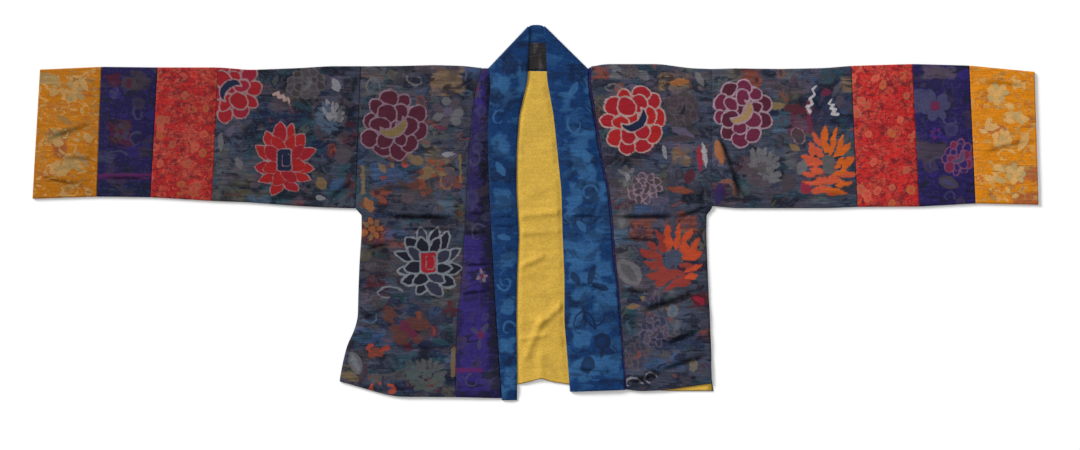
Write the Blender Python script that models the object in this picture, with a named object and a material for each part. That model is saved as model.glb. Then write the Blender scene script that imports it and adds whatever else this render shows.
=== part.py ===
"""A short Tibetan chuba robe of figured silk, laid flat with its front up.

Metres, +Z up. The robe lies on the plane Z = 0 with its neck towards +Y and its hem towards -Y, so its
wearer's right side is at -X. The origin is on that plane, under the middle of the robe's box.

From below, its layers are the back, the back lining, and then the fronts, the front strips and the legs
of the collar, side by side. Each sleeve is a flattened tube, and so is each band and cuff that
lengthens it. The collar is one band: it stands up behind the neck and folds over along a slanting line
at each side of it. Every piece is a middle surface that a Solidify modifier gives its wall.
"""

import math
from collections import namedtuple

import bmesh
import bpy
from mathutils import Vector

# Walls of the cloth, and the gaps that are left between pieces.
CLOTH_WALL = 0.0020
COLLAR_WALL = 0.0022
BACK_WALL = 0.0012
LINING_WALL = 0.0010
SEAM_GAP = 0.0003
LAYER_GAP = 0.0003

# Heights of the middle surfaces above the plane that the robe lies on.
BACK_Z = BACK_WALL / 2
LINING_Z = BACK_WALL + LAYER_GAP + LINING_WALL / 2
UNDER_Z = CLOTH_WALL / 2
FRONT_BOTTOM = LINING_Z + LINING_WALL / 2 + 0.0004
FRONT_Z = FRONT_BOTTOM + CLOTH_WALL / 2
COLLAR_LOW_Z = COLLAR_WALL / 2
FACING_Z = COLLAR_WALL + LAYER_GAP + LINING_WALL / 2
COLLAR_HIGH_Z = FACING_Z + LINING_WALL / 2 + LAYER_GAP + COLLAR_WALL / 2

# The fronts turn down to the back along the side seams and the shoulders.
CURL_DROP = FRONT_Z - UNDER_Z
CURL_REACH = 0.0035
CURL_SHARPNESS = 3.4
CURL_STEPS = (0.0, 0.0008, CURL_REACH)

# Where a front reaches below the back's hem, it comes down towards the plane over this length.
DROOP_START = 0.006
DROOP_REACH = 0.022
DROOP = FRONT_BOTTOM - 0.0002

# How far the edge of the back lies inside the shoulder, and that of the lining inside the back.
SHOULDER_TUCK = 0.0045
LINING_TUCK = 0.0016
LINING_HEM = 0.0006
NECK_GAP = 0.0004

# The outline of the body: its armhole and side seams, the tuck of the back inside them, and how far the
# front turns down there, from 0 to 1.
SideRow = namedtuple("SideRow", "y right left right_tuck left_tuck right_curl left_curl")
SIDES = [
    SideRow(0.2340, -0.2790, 0.2825, 0.00015, 0.00015, 0, 0),
    SideRow(0.0080, -0.2880, 0.2825, 0.00015, 0.00015, 0, 0),
    SideRow(-0.0040, -0.2785, 0.2740, 0.0040, 0.0040, 1, 1),
    SideRow(-0.0345, -0.2785, 0.2735, 0.0040, 0.0040, 1, 1),
    SideRow(-0.0760, -0.2815, 0.2750, 0.0040, 0.0040, 1, 1),
    SideRow(-0.1240, -0.2835, 0.2770, 0.0040, 0.0040, 1, 1),
    SideRow(-0.1690, -0.2845, 0.2795, 0.0040, 0.0040, 1, 1),
    SideRow(-0.1910, -0.2910, 0.2800, 0.0040, 0.0040, 1, 1),
    SideRow(-0.2120, -0.3015, 0.2810, 0.0040, 0.0040, 1, 1),
    SideRow(-0.2425, -0.3090, 0.2810, 0.0040, 0.0040, 1, 0),
    SideRow(-0.2680, -0.3135, 0.2820, 0.0040, -0.0005, 1, 0),
    SideRow(-0.2855, -0.3150, 0.2825, 0.0040, -0.0020, 1, 0),
]

# The seams down the fronts: between each front and its strip, and between the strip and the collar.
# The skew is how much higher the collar's free edge is than its seam, on a line across the band.
SeamRow = namedtuple("SeamRow", "y right_strip right_collar left_collar left_strip skew")
SEAMS = [
    SeamRow(0.2275, -0.0855, -0.0745, 0.0845, 0.0895, 0.0680),
    SeamRow(0.2055, -0.0935, -0.0715, 0.0835, 0.0885, 0.0545),
    SeamRow(0.1705, -0.0990, -0.0745, 0.0895, 0.0945, 0.0415),
    SeamRow(0.1255, -0.1040, -0.0770, 0.0970, 0.1015, 0.0305),
    SeamRow(0.0840, -0.1070, -0.0755, 0.1040, 0.1080, 0.0160),
    SeamRow(0.0360, -0.1095, -0.0740, 0.1145, 0.1185, 0.0000),
    SeamRow(-0.0040, -0.1115, -0.0720, 0.1190, 0.1230, 0.0000),
    SeamRow(-0.0760, -0.1155, -0.0680, 0.1245, 0.1285, 0.0000),
    SeamRow(-0.1240, -0.1190, -0.0655, 0.1305, 0.1340, 0.0000),
    SeamRow(-0.1690, -0.1245, -0.0625, 0.1345, 0.1375, 0.0000),
    SeamRow(-0.2120, -0.1265, -0.0595, 0.1380, 0.1410, 0.0000),
    SeamRow(-0.3000, -0.1280, -0.0535, 0.1450, 0.1475, 0.0000),
]

# The free inner edges of the collar, beside the opening.
FreeRow = namedtuple("FreeRow", "y right left")
FREE_EDGES = [
    FreeRow(0.2955, -0.0100, 0.0125),
    FreeRow(0.2600, -0.0105, 0.0170),
    FreeRow(0.2120, -0.0130, 0.0190),
    FreeRow(0.1560, -0.0260, 0.0290),
    FreeRow(0.1000, -0.0300, 0.0350),
    FreeRow(0.0360, -0.0305, 0.0415),
    FreeRow(-0.0345, -0.0265, 0.0435),
    FreeRow(-0.1030, -0.0295, 0.0465),
    FreeRow(-0.1735, -0.0305, 0.0465),
    FreeRow(-0.2425, -0.0295, 0.0520),
    FreeRow(-0.3000, -0.0295, 0.0565),
]

# Outlines along X.
EdgePoint = namedtuple("EdgePoint", "x y")
SHOULDERS = [
    EdgePoint(-0.2790, 0.2340),
    EdgePoint(-0.2170, 0.2345),
    EdgePoint(-0.1610, 0.2360),
    EdgePoint(-0.1130, 0.2345),
    EdgePoint(-0.0855, 0.2310),
    EdgePoint(0.0895, 0.2335),
    EdgePoint(0.1110, 0.2375),
    EdgePoint(0.1990, 0.2375),
    EdgePoint(0.2470, 0.2310),
    EdgePoint(0.2825, 0.2295),
]
FRONT_HEM = [
    EdgePoint(-0.3135, -0.2695),
    EdgePoint(-0.2810, -0.2790),
    EdgePoint(-0.2410, -0.2905),
    EdgePoint(-0.2170, -0.2945),
    EdgePoint(-0.1290, -0.2950),
    EdgePoint(-0.0535, -0.2970),
    EdgePoint(0.0560, -0.2855),
    EdgePoint(0.1440, -0.2825),
    EdgePoint(0.1670, -0.2855),
    EdgePoint(0.2070, -0.2840),
    EdgePoint(0.2825, -0.2730),
]
BACK_HEM = [
    EdgePoint(-0.3135, -0.2680),
    EdgePoint(-0.2810, -0.2765),
    EdgePoint(-0.2410, -0.2870),
    EdgePoint(-0.2170, -0.2905),
    EdgePoint(-0.1290, -0.2905),
    EdgePoint(-0.0570, -0.2825),
    EdgePoint(-0.0280, -0.2750),
    EdgePoint(-0.0090, -0.2710),
    EdgePoint(0.0090, -0.2655),
    EdgePoint(0.0265, -0.2710),
    EdgePoint(0.0535, -0.2750),
    EdgePoint(0.1430, -0.2800),
    EdgePoint(0.2120, -0.2855),
    EdgePoint(0.2840, -0.2855),
]

# The collar's two slanting folds, each from its free edge to its seam, and its end at the right hem.
FoldLine = namedtuple("FoldLine", "free_x free_y seam_x seam_y")
COLLAR_FOLDS = {
    "right": FoldLine(-0.0100, 0.2955, -0.0745, 0.2275),
    "left": FoldLine(0.0125, 0.2960, 0.0845, 0.2250),
}
COLLAR_TOP = [
    EdgePoint(-0.0080, 0.2990),
    EdgePoint(-0.0030, 0.3000),
    EdgePoint(0.0050, 0.3000),
    EdgePoint(0.0105, 0.2990),
]
COLLAR_LEG_TOP = {"right": 0.2225, "left": 0.2200}
COLLAR_RAISED_ABOVE = 0.060
CollarEnd = namedtuple("CollarEnd", "free_y seam_y")
COLLAR_ENDS = {"right": CollarEnd(-0.3000, -0.2998), "left": CollarEnd(-0.2865, -0.2835)}

# The facing inside the neck, whose ends stay inside the collar's folds.
FacingEdge = namedtuple("FacingEdge", "y right left")
FACING = [FacingEdge(0.2712, -0.0300, 0.0345), FacingEdge(0.2283, -0.0700, 0.0770)]

# The arms, from the armhole out. A section that a piece ends at carries its name.
ArmSection = namedtuple("ArmSection", "ends upper_x upper_y lower_x lower_y")
ARMS = {
    "right": [
        ArmSection("", -0.2790, 0.2340, -0.2880, 0.0065),
        ArmSection("", -0.3290, 0.2340, -0.3335, 0.0080),
        ArmSection("", -0.3770, 0.2310, -0.3815, 0.0105),
        ArmSection("", -0.4570, 0.2280, -0.4615, 0.0165),
        ArmSection("sleeve", -0.5070, 0.2320, -0.5170, 0.0185),
        ArmSection("red_band", -0.6040, 0.2320, -0.6155, 0.0245),
        ArmSection("purple_band", -0.6940, 0.2330, -0.7015, 0.0255),
        ArmSection("cuff", -0.7920, 0.2285, -0.8040, 0.0220),
    ],
    "left": [
        ArmSection("", 0.2825, 0.2295, 0.2825, 0.0105),
        ArmSection("", 0.3190, 0.2305, 0.3190, 0.0070),
        ArmSection("", 0.3910, 0.2295, 0.3910, 0.0070),
        ArmSection("", 0.4630, 0.2310, 0.4680, 0.0070),
        ArmSection("sleeve", 0.5050, 0.2345, 0.5150, 0.0090),
        ArmSection("red_band", 0.6025, 0.2375, 0.6135, 0.0095),
        ArmSection("purple_band", 0.6935, 0.2350, 0.7035, 0.0145),
        ArmSection("cuff", 0.7975, 0.2250, 0.8040, 0.0125),
    ],
}

# The largest folds in the cloth on top: soft ridges from a start to an end.
Ridge = namedtuple("Ridge", "start_x start_y end_x end_y height width")
RIDGES = [
    Ridge(-0.250, 0.014, -0.120, 0.015, 0.0026, 0.018),
    Ridge(-0.225, -0.040, -0.115, -0.044, 0.0018, 0.018),
    Ridge(0.130, 0.008, 0.240, 0.010, 0.0024, 0.018),
    Ridge(0.125, -0.026, 0.200, -0.026, 0.0018, 0.016),
    Ridge(0.165, -0.140, 0.255, -0.112, 0.0024, 0.018),
    Ridge(0.205, -0.192, 0.265, -0.168, 0.0020, 0.018),
    Ridge(0.160, -0.250, 0.268, -0.208, 0.0024, 0.020),
    Ridge(0.300, 0.110, 0.338, 0.020, 0.0024, 0.020),
    Ridge(-0.345, 0.120, -0.460, 0.100, 0.0014, 0.035),
    Ridge(0.560, 0.180, 0.640, 0.060, 0.0014, 0.035),
    Ridge(-0.640, 0.175, -0.760, 0.090, 0.0012, 0.035),
]

# Heights of the rows of points across the fronts, besides those along the shoulder and the hem.
UNDERARM_Y = 0.0080
SIDE_TOP_Y = -0.0040
TOP_LEVEL = 0.2120
LOW_LEVEL = -0.2500
LEVELS_ABOVE = 11
LEVELS_BELOW = 13
HEM_ROWS = 4
BACK_LEVELS = (0.160, 0.084, 0.008, -0.004, -0.0345, -0.076, -0.124, -0.169, -0.191, -0.212, -0.2425)

# Fractions of the body's width where the back and its lining have points: closer at the neck and hem.
BACK_COLUMNS = (0, 0.09, 0.17, 0.26, 0.345, 0.378, 0.478, 0.51, 0.54, 0.569, 0.614, 0.665, 0.70, 0.8, 0.9, 1)

FRONT_COLUMNS = 9
STRIP_COLUMNS = {"right": 2, "left": 1}
COLLAR_COLUMNS = 4
FOLD_STEPS = 4
UNDER_CELLS = 4
UPPER_CELLS = 8
CELLS_BETWEEN_SECTIONS = {"sleeve": 2, "red_band": 3, "purple_band": 3, "cuff": 3}

FACING_COLUMNS = 6
FACING_ROWS = 2
SETTLING_ROUNDS = 4
NECK_MARGIN = 0.012
EDGE_FADE = 0.030

SIGN = {"right": -1, "left": 1}


def mix(low, high, share):
    return low + (high - low) * share


def smooth(share):
    """An easing from 0 to 1."""
    share = min(max(share, 0.0), 1.0)
    return share * share * (3 - 2 * share)


def reading(table, column, at):
    """A column of a table, read straight between its rows and level past its ends."""
    first = table[0]._fields[0]
    rows = sorted(table, key=lambda row: getattr(row, first))
    for below, above in zip(rows, rows[1:]):
        if at <= getattr(above, first):
            break
    low, high = getattr(below, first), getattr(above, first)
    share = min(max((at - low) / (high - low), 0.0), 1.0)
    return mix(getattr(below, column), getattr(above, column), share)


def ridge_height(x, y):
    """How much the largest folds lift the cloth at a point."""
    height = 0.0
    for ridge in RIDGES:
        start = Vector((ridge.start_x, ridge.start_y))
        along = Vector((ridge.end_x, ridge.end_y)) - start
        share = (Vector((x, y)) - start).dot(along) / along.length_squared
        nearest = start + along * min(max(share, 0.0), 1.0)
        distance = (Vector((x, y)) - nearest).length / ridge.width
        height += ridge.height * math.exp(-distance * distance)
    return height


def curl(distance):
    """How far an edge turns down at a distance inside it, from 1 at the edge to 0."""
    return max(0.0, 1 - distance / CURL_REACH) ** CURL_SHARPNESS


def front_height(x, y, turn_down, wall):
    """The middle surface of the cloth on top: its folds, its turned edges and its droop past the back."""
    lift = ridge_height(x, y) * (1 - turn_down) - CURL_DROP * turn_down
    below_back = reading(BACK_HEM, "y", x) - y - DROOP_START
    droop = DROOP * smooth(below_back / DROOP_REACH)
    return max(FRONT_BOTTOM + wall / 2 + lift - droop, wall / 2)


def cloth(name, columns, rows, place, wall, colour, tube=False):
    """A piece of cloth: a grid whose points place(column, row) sets, with a wall to both sides of it."""
    mesh = bmesh.new()
    bmesh.ops.create_grid(mesh, x_segments=columns, y_segments=rows, size=0.5)
    for vert in mesh.verts:
        column = round((vert.co.x + 0.5) * columns)
        row = round((0.5 - vert.co.y) * rows)
        vert.co = place(column, row)
    if tube:
        bmesh.ops.remove_doubles(mesh, verts=mesh.verts, dist=1e-6)
        bmesh.ops.recalc_face_normals(mesh, faces=mesh.faces)
    data = bpy.data.meshes.new(name)
    mesh.to_mesh(data)
    mesh.free()
    data.shade_smooth()
    piece = bpy.data.objects.new(name, data)
    bpy.context.scene.collection.objects.link(piece)
    solidify = piece.modifiers.new("wall", "SOLIDIFY")
    solidify.thickness = wall
    solidify.offset = 0
    data.materials.append(silk(name, colour))
    return piece


def silk(name, colour):
    material = bpy.data.materials.new(name)
    material.use_nodes = True
    shader = material.node_tree.nodes["Principled BSDF"]
    shader.inputs["Base Color"].default_value = (*colour, 1)
    shader.inputs["Roughness"].default_value = 0.6
    shader.inputs["Metallic"].default_value = 0.0
    return material


def front_levels():
    """The rows of points that cross both fronts, their strips and the collar at the same heights."""
    above = [mix(TOP_LEVEL, UNDERARM_Y, step / LEVELS_ABOVE) for step in range(LEVELS_ABOVE + 1)]
    below = [mix(SIDE_TOP_Y, LOW_LEVEL, step / LEVELS_BELOW) for step in range(LEVELS_BELOW + 1)]
    return above + below


def column_heights(top, bottom):
    """The heights of the points down a column, from its top at the shoulder to its bottom at the hem."""
    turned = [top - step for step in CURL_STEPS]
    last = [mix(LOW_LEVEL, bottom, (step + 1) / HEM_ROWS) for step in range(HEM_ROWS)]
    return turned + front_levels() + last


def front(side, colour):
    """A front, from its side seam to its strip. It turns down along the side seam and the shoulder."""
    sign = SIGN[side]
    turned_columns = len(CURL_STEPS) - 1

    def place(column, row):
        inside = CURL_STEPS[min(column, turned_columns)]
        share = max(column - turned_columns, 0) / FRONT_COLUMNS
        x = (getattr(SIDES[0], side) + getattr(SEAMS[0], side + "_strip")) / 2
        # At the shoulder and the hem x and y depend on each other, and a few rounds settle both.
        for _ in range(SETTLING_ROUNDS):
            top = reading(SHOULDERS, "y", x) - CLOTH_WALL / 2
            y = column_heights(top, reading(FRONT_HEM, "y", x))[row]
            side_turn = reading(SIDES, side + "_curl", y)
            edge = reading(SIDES, side, y) - sign * (SEAM_GAP + side_turn * CLOTH_WALL) / 2
            seam = reading(SEAMS, side + "_strip", y) + sign * SEAM_GAP / 2
            x = mix(edge - sign * inside, seam, share)
        turn_down = max(side_turn * curl(inside), curl(top - y))
        return Vector((x, y, front_height(x, y, turn_down, CLOTH_WALL)))

    rows = len(column_heights(0, 0)) - 1
    cloth("front_" + side, turned_columns + FRONT_COLUMNS, rows, place, CLOTH_WALL, colour)


def strip(side, colour):
    """The narrow strip between a front and the collar."""
    sign = SIGN[side]
    columns = STRIP_COLUMNS[side]
    shoulder = reading(SHOULDERS, "y", getattr(SEAMS[0], side + "_strip")) - CLOTH_WALL / 2
    outer = column_heights(shoulder, hem_at(side + "_strip"))
    inner = column_heights(COLLAR_LEG_TOP[side], hem_at(side + "_collar"))

    def place(column, row):
        outer_x = reading(SEAMS, side + "_strip", outer[row]) - sign * SEAM_GAP / 2
        inner_x = reading(SEAMS, side + "_collar", inner[row]) + sign * SEAM_GAP / 2
        x = mix(outer_x, inner_x, column / columns)
        y = mix(outer[row], inner[row], column / columns)
        return Vector((x, y, front_height(x, y, 0, CLOTH_WALL)))

    cloth("front_strip_" + side, columns, len(outer) - 1, place, CLOTH_WALL, colour)


def hem_at(seam):
    """The height of the fronts' hem at one of their seams."""
    return reading(FRONT_HEM, "y", getattr(SEAMS[-1], seam))


def collar_leg(side):
    """Pairs of points across a leg of the collar, free edge first, from the neck to the hem."""
    top, end = COLLAR_LEG_TOP[side], COLLAR_ENDS[side]
    heights = column_heights(top, hem_at(side + "_collar"))
    ends = [(height + reading(SEAMS, "skew", height), height) for height in heights]
    pairs = []
    for free_y, seam_y in ends + [end]:
        raised = smooth((seam_y - COLLAR_RAISED_ABOVE) / (top - COLLAR_RAISED_ABOVE))
        raised *= COLLAR_HIGH_Z - FRONT_BOTTOM - COLLAR_WALL / 2
        free_x = reading(FREE_EDGES, side, free_y)
        seam_x = reading(SEAMS, side + "_collar", seam_y) - SIGN[side] * SEAM_GAP / 2
        points = (free_x, free_y), (seam_x, seam_y)
        pairs.append([Vector((x, y, front_height(x, y, 0, COLLAR_WALL) + raised)) for x, y in points])
    return pairs


def collar_fold(side):
    """Pairs of points round a fold of the collar, from its leg on top to the stretch behind the neck."""
    line = COLLAR_FOLDS[side]
    free = Vector((line.free_x, line.free_y, 0))
    seam = Vector((line.seam_x, line.seam_y, 0))
    outwards = (seam - free).cross(Vector((0, 0, -SIGN[side]))).normalized()
    radius = (COLLAR_HIGH_Z - COLLAR_LOW_Z) / 2
    pairs = []
    for step in range(FOLD_STEPS + 1):
        angle = math.pi * step / FOLD_STEPS
        move = outwards * radius * math.sin(angle)
        move.z = (COLLAR_HIGH_Z + COLLAR_LOW_Z) / 2 + radius * math.cos(angle)
        pairs.append([free + move, seam + move])
    return pairs


def collar(colour):
    """The collar: up the right leg, round its fold, behind the neck, round the left fold and down."""
    right, left = COLLAR_FOLDS["right"], COLLAR_FOLDS["left"]
    behind = []
    for index, top in enumerate(COLLAR_TOP):
        share = (index + 1) / (len(COLLAR_TOP) + 1)
        seam_x = mix(right.seam_x, left.seam_x, share)
        seam_y = mix(right.seam_y, left.seam_y, share)
        behind.append([Vector((*top, COLLAR_LOW_Z)), Vector((seam_x, seam_y, COLLAR_LOW_Z))])
    pairs = collar_leg("right")[::-1] + collar_fold("right") + behind
    pairs += collar_fold("left")[::-1] + collar_leg("left")

    def place(column, row):
        free, seam = pairs[row]
        return free.lerp(seam, column / COLLAR_COLUMNS)

    cloth("collar", COLLAR_COLUMNS, len(pairs) - 1, place, COLLAR_WALL, colour)


def collar_facing(colour):
    """The facing on the stretch of the collar behind the neck."""
    top, bottom = FACING

    def place(column, row):
        share = row / FACING_ROWS
        right, left = mix(top.right, bottom.right, share), mix(top.left, bottom.left, share)
        return Vector((mix(right, left, column / FACING_COLUMNS), mix(top.y, bottom.y, share), FACING_Z))

    cloth("collar_facing", FACING_COLUMNS, FACING_ROWS, place, LINING_WALL, colour)


def back_top(x, tuck):
    """The top edge of the back: inside the shoulders, and below the collar's seam at the neck."""
    right, left = COLLAR_FOLDS["right"], COLLAR_FOLDS["left"]
    shoulder = reading(SHOULDERS, "y", x) - tuck
    if not right.seam_x - NECK_MARGIN < x < left.seam_x + NECK_MARGIN:
        return shoulder
    share = min(max((x - right.seam_x) / (left.seam_x - right.seam_x), 0.0), 1.0)
    return min(shoulder, mix(right.seam_y, left.seam_y, share) - NECK_GAP)


def back_layer(name, height, wall, extra_tuck, hem_rise, colour):
    """The back or its lining: a flat sheet inside the outline of the fronts."""
    rows = len(BACK_LEVELS) + 1

    def place(column, row):
        x = 0.0
        for _ in range(SETTLING_ROUNDS):
            if row == 0:
                y = back_top(x, SHOULDER_TUCK + extra_tuck)
            elif row == rows:
                y = reading(BACK_HEM, "y", x) + hem_rise
            else:
                y = BACK_LEVELS[row - 1]
            right = reading(SIDES, "right", y) + reading(SIDES, "right_tuck", y) + extra_tuck
            left = reading(SIDES, "left", y) - reading(SIDES, "left_tuck", y) - extra_tuck
            x = mix(right, left, BACK_COLUMNS[column])
        return Vector((x, y, height))

    cloth(name, len(BACK_COLUMNS) - 1, rows, place, wall, colour)


def arm_loop(section):
    """The points round a flattened tube: the under wall, the top edge, the upper wall, the lower edge."""
    turn = (FRONT_Z - UNDER_Z) / 2
    low, high = section.lower_y + CLOTH_WALL / 2, section.upper_y - CLOTH_WALL / 2
    points = []
    for step in range(UNDER_CELLS + 1):
        points.append((mix(low + turn, high - turn, step / UNDER_CELLS), UNDER_Z))
    points.append((high, UNDER_Z + turn))
    for step in range(UPPER_CELLS + 1):
        points.append((mix(high - turn, low + turn, step / UPPER_CELLS), FRONT_Z))
    points.append((low, UNDER_Z + turn))
    loop = []
    for y, z in points:
        share = (y - section.lower_y) / (section.upper_y - section.lower_y)
        x = mix(section.lower_x, section.upper_x, share)
        if z == FRONT_Z:
            z += ridge_height(x, y) * smooth(min(y - low, high - y) / EDGE_FADE)
        loop.append(Vector((x, y, z)))
    return loop + loop[:1]


def arm_piece(kind, side, sections, colour):
    """A tube between an arm's sections. It stops short of each seam by half a gap."""
    cells = CELLS_BETWEEN_SECTIONS[kind]
    between = []
    for first, last in zip(sections, sections[1:]):
        for step in range(cells):
            spread = [mix(a, b, step / cells) for a, b in zip(first[1:], last[1:])]
            between.append(ArmSection("", *spread))
    between.append(sections[-1])
    loops = [arm_loop(section) for section in between]
    ends = [(0, 1)] if kind == "cuff" else [(0, 1), (-1, -1)]
    for index, way in ends:
        for point in loops[index]:
            point.x += way * SIGN[side] * SEAM_GAP / 2

    def place(column, row):
        return loops[row][column]

    cloth(kind + "_" + side, len(loops[0]) - 1, len(loops) - 1, place, CLOTH_WALL, colour, tube=True)


def arm(side, colours):
    """The sleeve and the bands and cuff that lengthen it."""
    sections = ARMS[side]
    start = 0
    for index, section in enumerate(sections):
        if section.ends:
            arm_piece(section.ends, side, sections[start : index + 1], colours[section.ends])
            start = index


def clear_scene():
    for obj in list(bpy.data.objects):
        bpy.data.objects.remove(obj, do_unlink=True)


BROCADE = (0.045, 0.050, 0.075)
RED = (0.45, 0.040, 0.030)
PURPLE = (0.035, 0.020, 0.110)
GOLD = (0.62, 0.28, 0.030)
BLUE = (0.010, 0.060, 0.170)
YELLOW = (0.66, 0.42, 0.110)
FACING_BROWN = (0.035, 0.028, 0.025)

clear_scene()
back_layer("back", BACK_Z, BACK_WALL, 0.0, 0.0, BROCADE)
back_layer("back_lining", LINING_Z, LINING_WALL, LINING_TUCK, LINING_HEM, YELLOW)
for each_side in ("right", "left"):
    front(each_side, BROCADE)
    strip(each_side, PURPLE)
    arm(each_side, {"sleeve": BROCADE, "red_band": RED, "purple_band": PURPLE, "cuff": GOLD})
collar(BLUE)
collar_facing(FACING_BROWN)
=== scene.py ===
"""The looks of a short chuba robe of figured silk, laid flat with its front up.

Each piece of cloth is a thin shell on the form of its solid. Its figures are drawn here as distances to
simple outlines: how far inside a figure each point of the cloth is, and how far off its outlines.
"""

import math
from collections import namedtuple

import bmesh
import bpy
import numpy as np
from bpy.props import FloatProperty, FloatVectorProperty, PointerProperty
from bpy.types import Operator, Panel, PropertyGroup
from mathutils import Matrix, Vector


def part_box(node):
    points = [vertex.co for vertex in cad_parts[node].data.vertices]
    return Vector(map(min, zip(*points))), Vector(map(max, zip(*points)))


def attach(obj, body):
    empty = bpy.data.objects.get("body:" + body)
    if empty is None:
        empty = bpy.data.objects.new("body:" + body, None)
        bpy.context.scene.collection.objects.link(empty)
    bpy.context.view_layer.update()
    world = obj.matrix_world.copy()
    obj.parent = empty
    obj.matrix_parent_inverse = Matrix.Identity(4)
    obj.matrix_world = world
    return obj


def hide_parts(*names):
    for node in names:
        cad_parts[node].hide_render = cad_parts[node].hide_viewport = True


bl_info = {
    "name": "Figured silk robe",
    "version": (1, 0, 0),
    "blender": (4, 5, 0),
    "location": "3D View > Sidebar > Robe",
    "description": "A short robe of figured silk, laid flat, with its bands, collar and lining",
    "category": "Object",
}

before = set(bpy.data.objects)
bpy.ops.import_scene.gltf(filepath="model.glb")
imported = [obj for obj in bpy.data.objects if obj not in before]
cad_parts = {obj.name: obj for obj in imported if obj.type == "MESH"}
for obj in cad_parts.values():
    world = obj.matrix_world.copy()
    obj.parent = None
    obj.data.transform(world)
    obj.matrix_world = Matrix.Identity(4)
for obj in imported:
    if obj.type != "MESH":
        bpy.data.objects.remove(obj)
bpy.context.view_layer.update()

SIGN = {"right": -1, "left": 1}


def in_metres(kind, rows, lengths=None):
    """A table's rows, whose first parts are lengths in millimetres, with those lengths in metres."""
    return [kind(*(part / 1000 for part in row[:lengths]), *row[len(row[:lengths]) :]) for row in rows]


# Walls of the cloth and gaps between pieces, in metres as everything here is.
CLOTH_WALL = 0.0020
COLLAR_WALL = 0.0022
BACK_WALL = 0.0012
LINING_WALL = 0.0010
SEAM_GAP = 0.0003

# Middle heights of the layers, read from the frame's solids.
BACK_Z = BACK_WALL / 2
LINING_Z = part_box("back_lining")[1].z - LINING_WALL / 2
UNDER_Z = CLOTH_WALL / 2
FRONT_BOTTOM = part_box("back_lining")[1].z + 0.0004
FRONT_Z = FRONT_BOTTOM + CLOTH_WALL / 2
COLLAR_LOW_Z = COLLAR_WALL / 2
FACING_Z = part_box("collar_facing")[1].z - LINING_WALL / 2
COLLAR_HIGH_Z = FACING_Z + LINING_WALL / 2 + 0.0003 + COLLAR_WALL / 2

# Turned edges, and the droop of a front past the back's hem.
CURL_DROP = FRONT_Z - UNDER_Z
CURL_REACH = 0.0035
CURL_SHARPNESS = 3.4
CURL_STEPS = (0.0, 0.0003, 0.0008, 0.0014, 0.0023, CURL_REACH)
TURNED = len(CURL_STEPS) - 1
DROOP_START = 0.006
DROOP_REACH = 0.022
DROOP = FRONT_BOTTOM - 0.0002
SHOULDER_TUCK = 0.0045
LINING_TUCK = 0.0016
LINING_HEM = 0.0006
NECK_GAP = 0.0004
NECK_MARGIN = 0.012
COLLAR_RAISED_ABOVE = 0.060
COLLAR_HEM = -0.292
CROWN_DROP = 0.0006
CROWN_REACH = 0.0030
STRIP_TUCK = 0.0004
STRIP_TUCK_REACH = 0.006
# How far from a loose end or edge the relief is read at least.
SEAM_CALM = 0.004
EDGE_FADE = 0.030
EASE = 0.008
SETTLING_ROUNDS = 5

# The outline of the body, the seams down its fronts and the free edges of its collar.
SideRow = namedtuple("SideRow", "y right left right_tuck left_tuck right_curl left_curl")
SIDES = in_metres(
    SideRow,
    [
        (234, -279, 282.5, 0.15, 0.15, 0, 0), (8, -288, 282.5, 0.15, 0.15, 0, 0),
        (-4, -278.5, 274, 4, 4, 1, 1), (-34.5, -278.5, 273.5, 4, 4, 1, 1), (-76, -281.5, 275, 4, 4, 1, 1),
        (-124, -283.5, 277, 4, 4, 1, 1), (-169, -284.5, 279.5, 4, 4, 1, 1), (-191, -291, 280, 4, 4, 1, 1),
        (-212, -301.5, 281, 4, 4, 1, 1), (-242.5, -309, 281, 4, 4, 1, 0),
        (-268, -313.5, 282, 4, -0.5, 1, 0), (-285.5, -315, 282.5, 4, -2, 1, 0),
    ],
    5,
)
SeamRow = namedtuple("SeamRow", "y right_strip right_collar left_collar left_strip skew")
SEAMS = in_metres(
    SeamRow,
    [
        (227.5, -85.5, -74.5, 84.5, 89.5, 68), (205.5, -93.5, -71.5, 83.5, 88.5, 54.5),
        (170.5, -99, -74.5, 89.5, 94.5, 41.5), (125.5, -104, -77, 97, 101.5, 30.5),
        (84, -107, -75.5, 104, 108, 16), (36, -109.5, -74, 114.5, 118.5, 0), (-4, -111.5, -72, 119, 123, 0),
        (-76, -115.5, -68, 124.5, 128.5, 0), (-124, -119, -65.5, 130.5, 134, 0),
        (-169, -124.5, -62.5, 134.5, 137.5, 0), (-212, -126.5, -59.5, 138, 141, 0),
        (-300, -128, -53.5, 145, 147.5, 0),
    ],
)
FreeRow = namedtuple("FreeRow", "y right left")
FREE_EDGES = in_metres(
    FreeRow,
    [
        (295.5, -10, 12.5), (260, -10.5, 17), (212, -13, 19), (156, -26, 29), (100, -30, 35),
        (36, -30.5, 41.5), (-34.5, -26.5, 43.5), (-103, -29.5, 46.5), (-173.5, -30.5, 46.5),
        (-242.5, -29.5, 52), (-300, -29.5, 56.5),
    ],
)
EdgePoint = namedtuple("EdgePoint", "x y")
SHOULDERS = in_metres(
    EdgePoint,
    [
        (-279, 234), (-217, 234.5), (-161, 236), (-113, 234.5), (-85.5, 231), (89.5, 233.5), (111, 237.5),
        (199, 237.5), (247, 231), (282.5, 229.5),
    ],
)
FRONT_HEM = in_metres(
    EdgePoint,
    [
        (-313.5, -269.5), (-281, -279), (-241, -290.5), (-217, -294.5), (-129, -295), (-53.5, -297),
        (56, -285.5), (144, -282.5), (167, -285.5), (207, -284), (282.5, -273),
    ],
)
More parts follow.
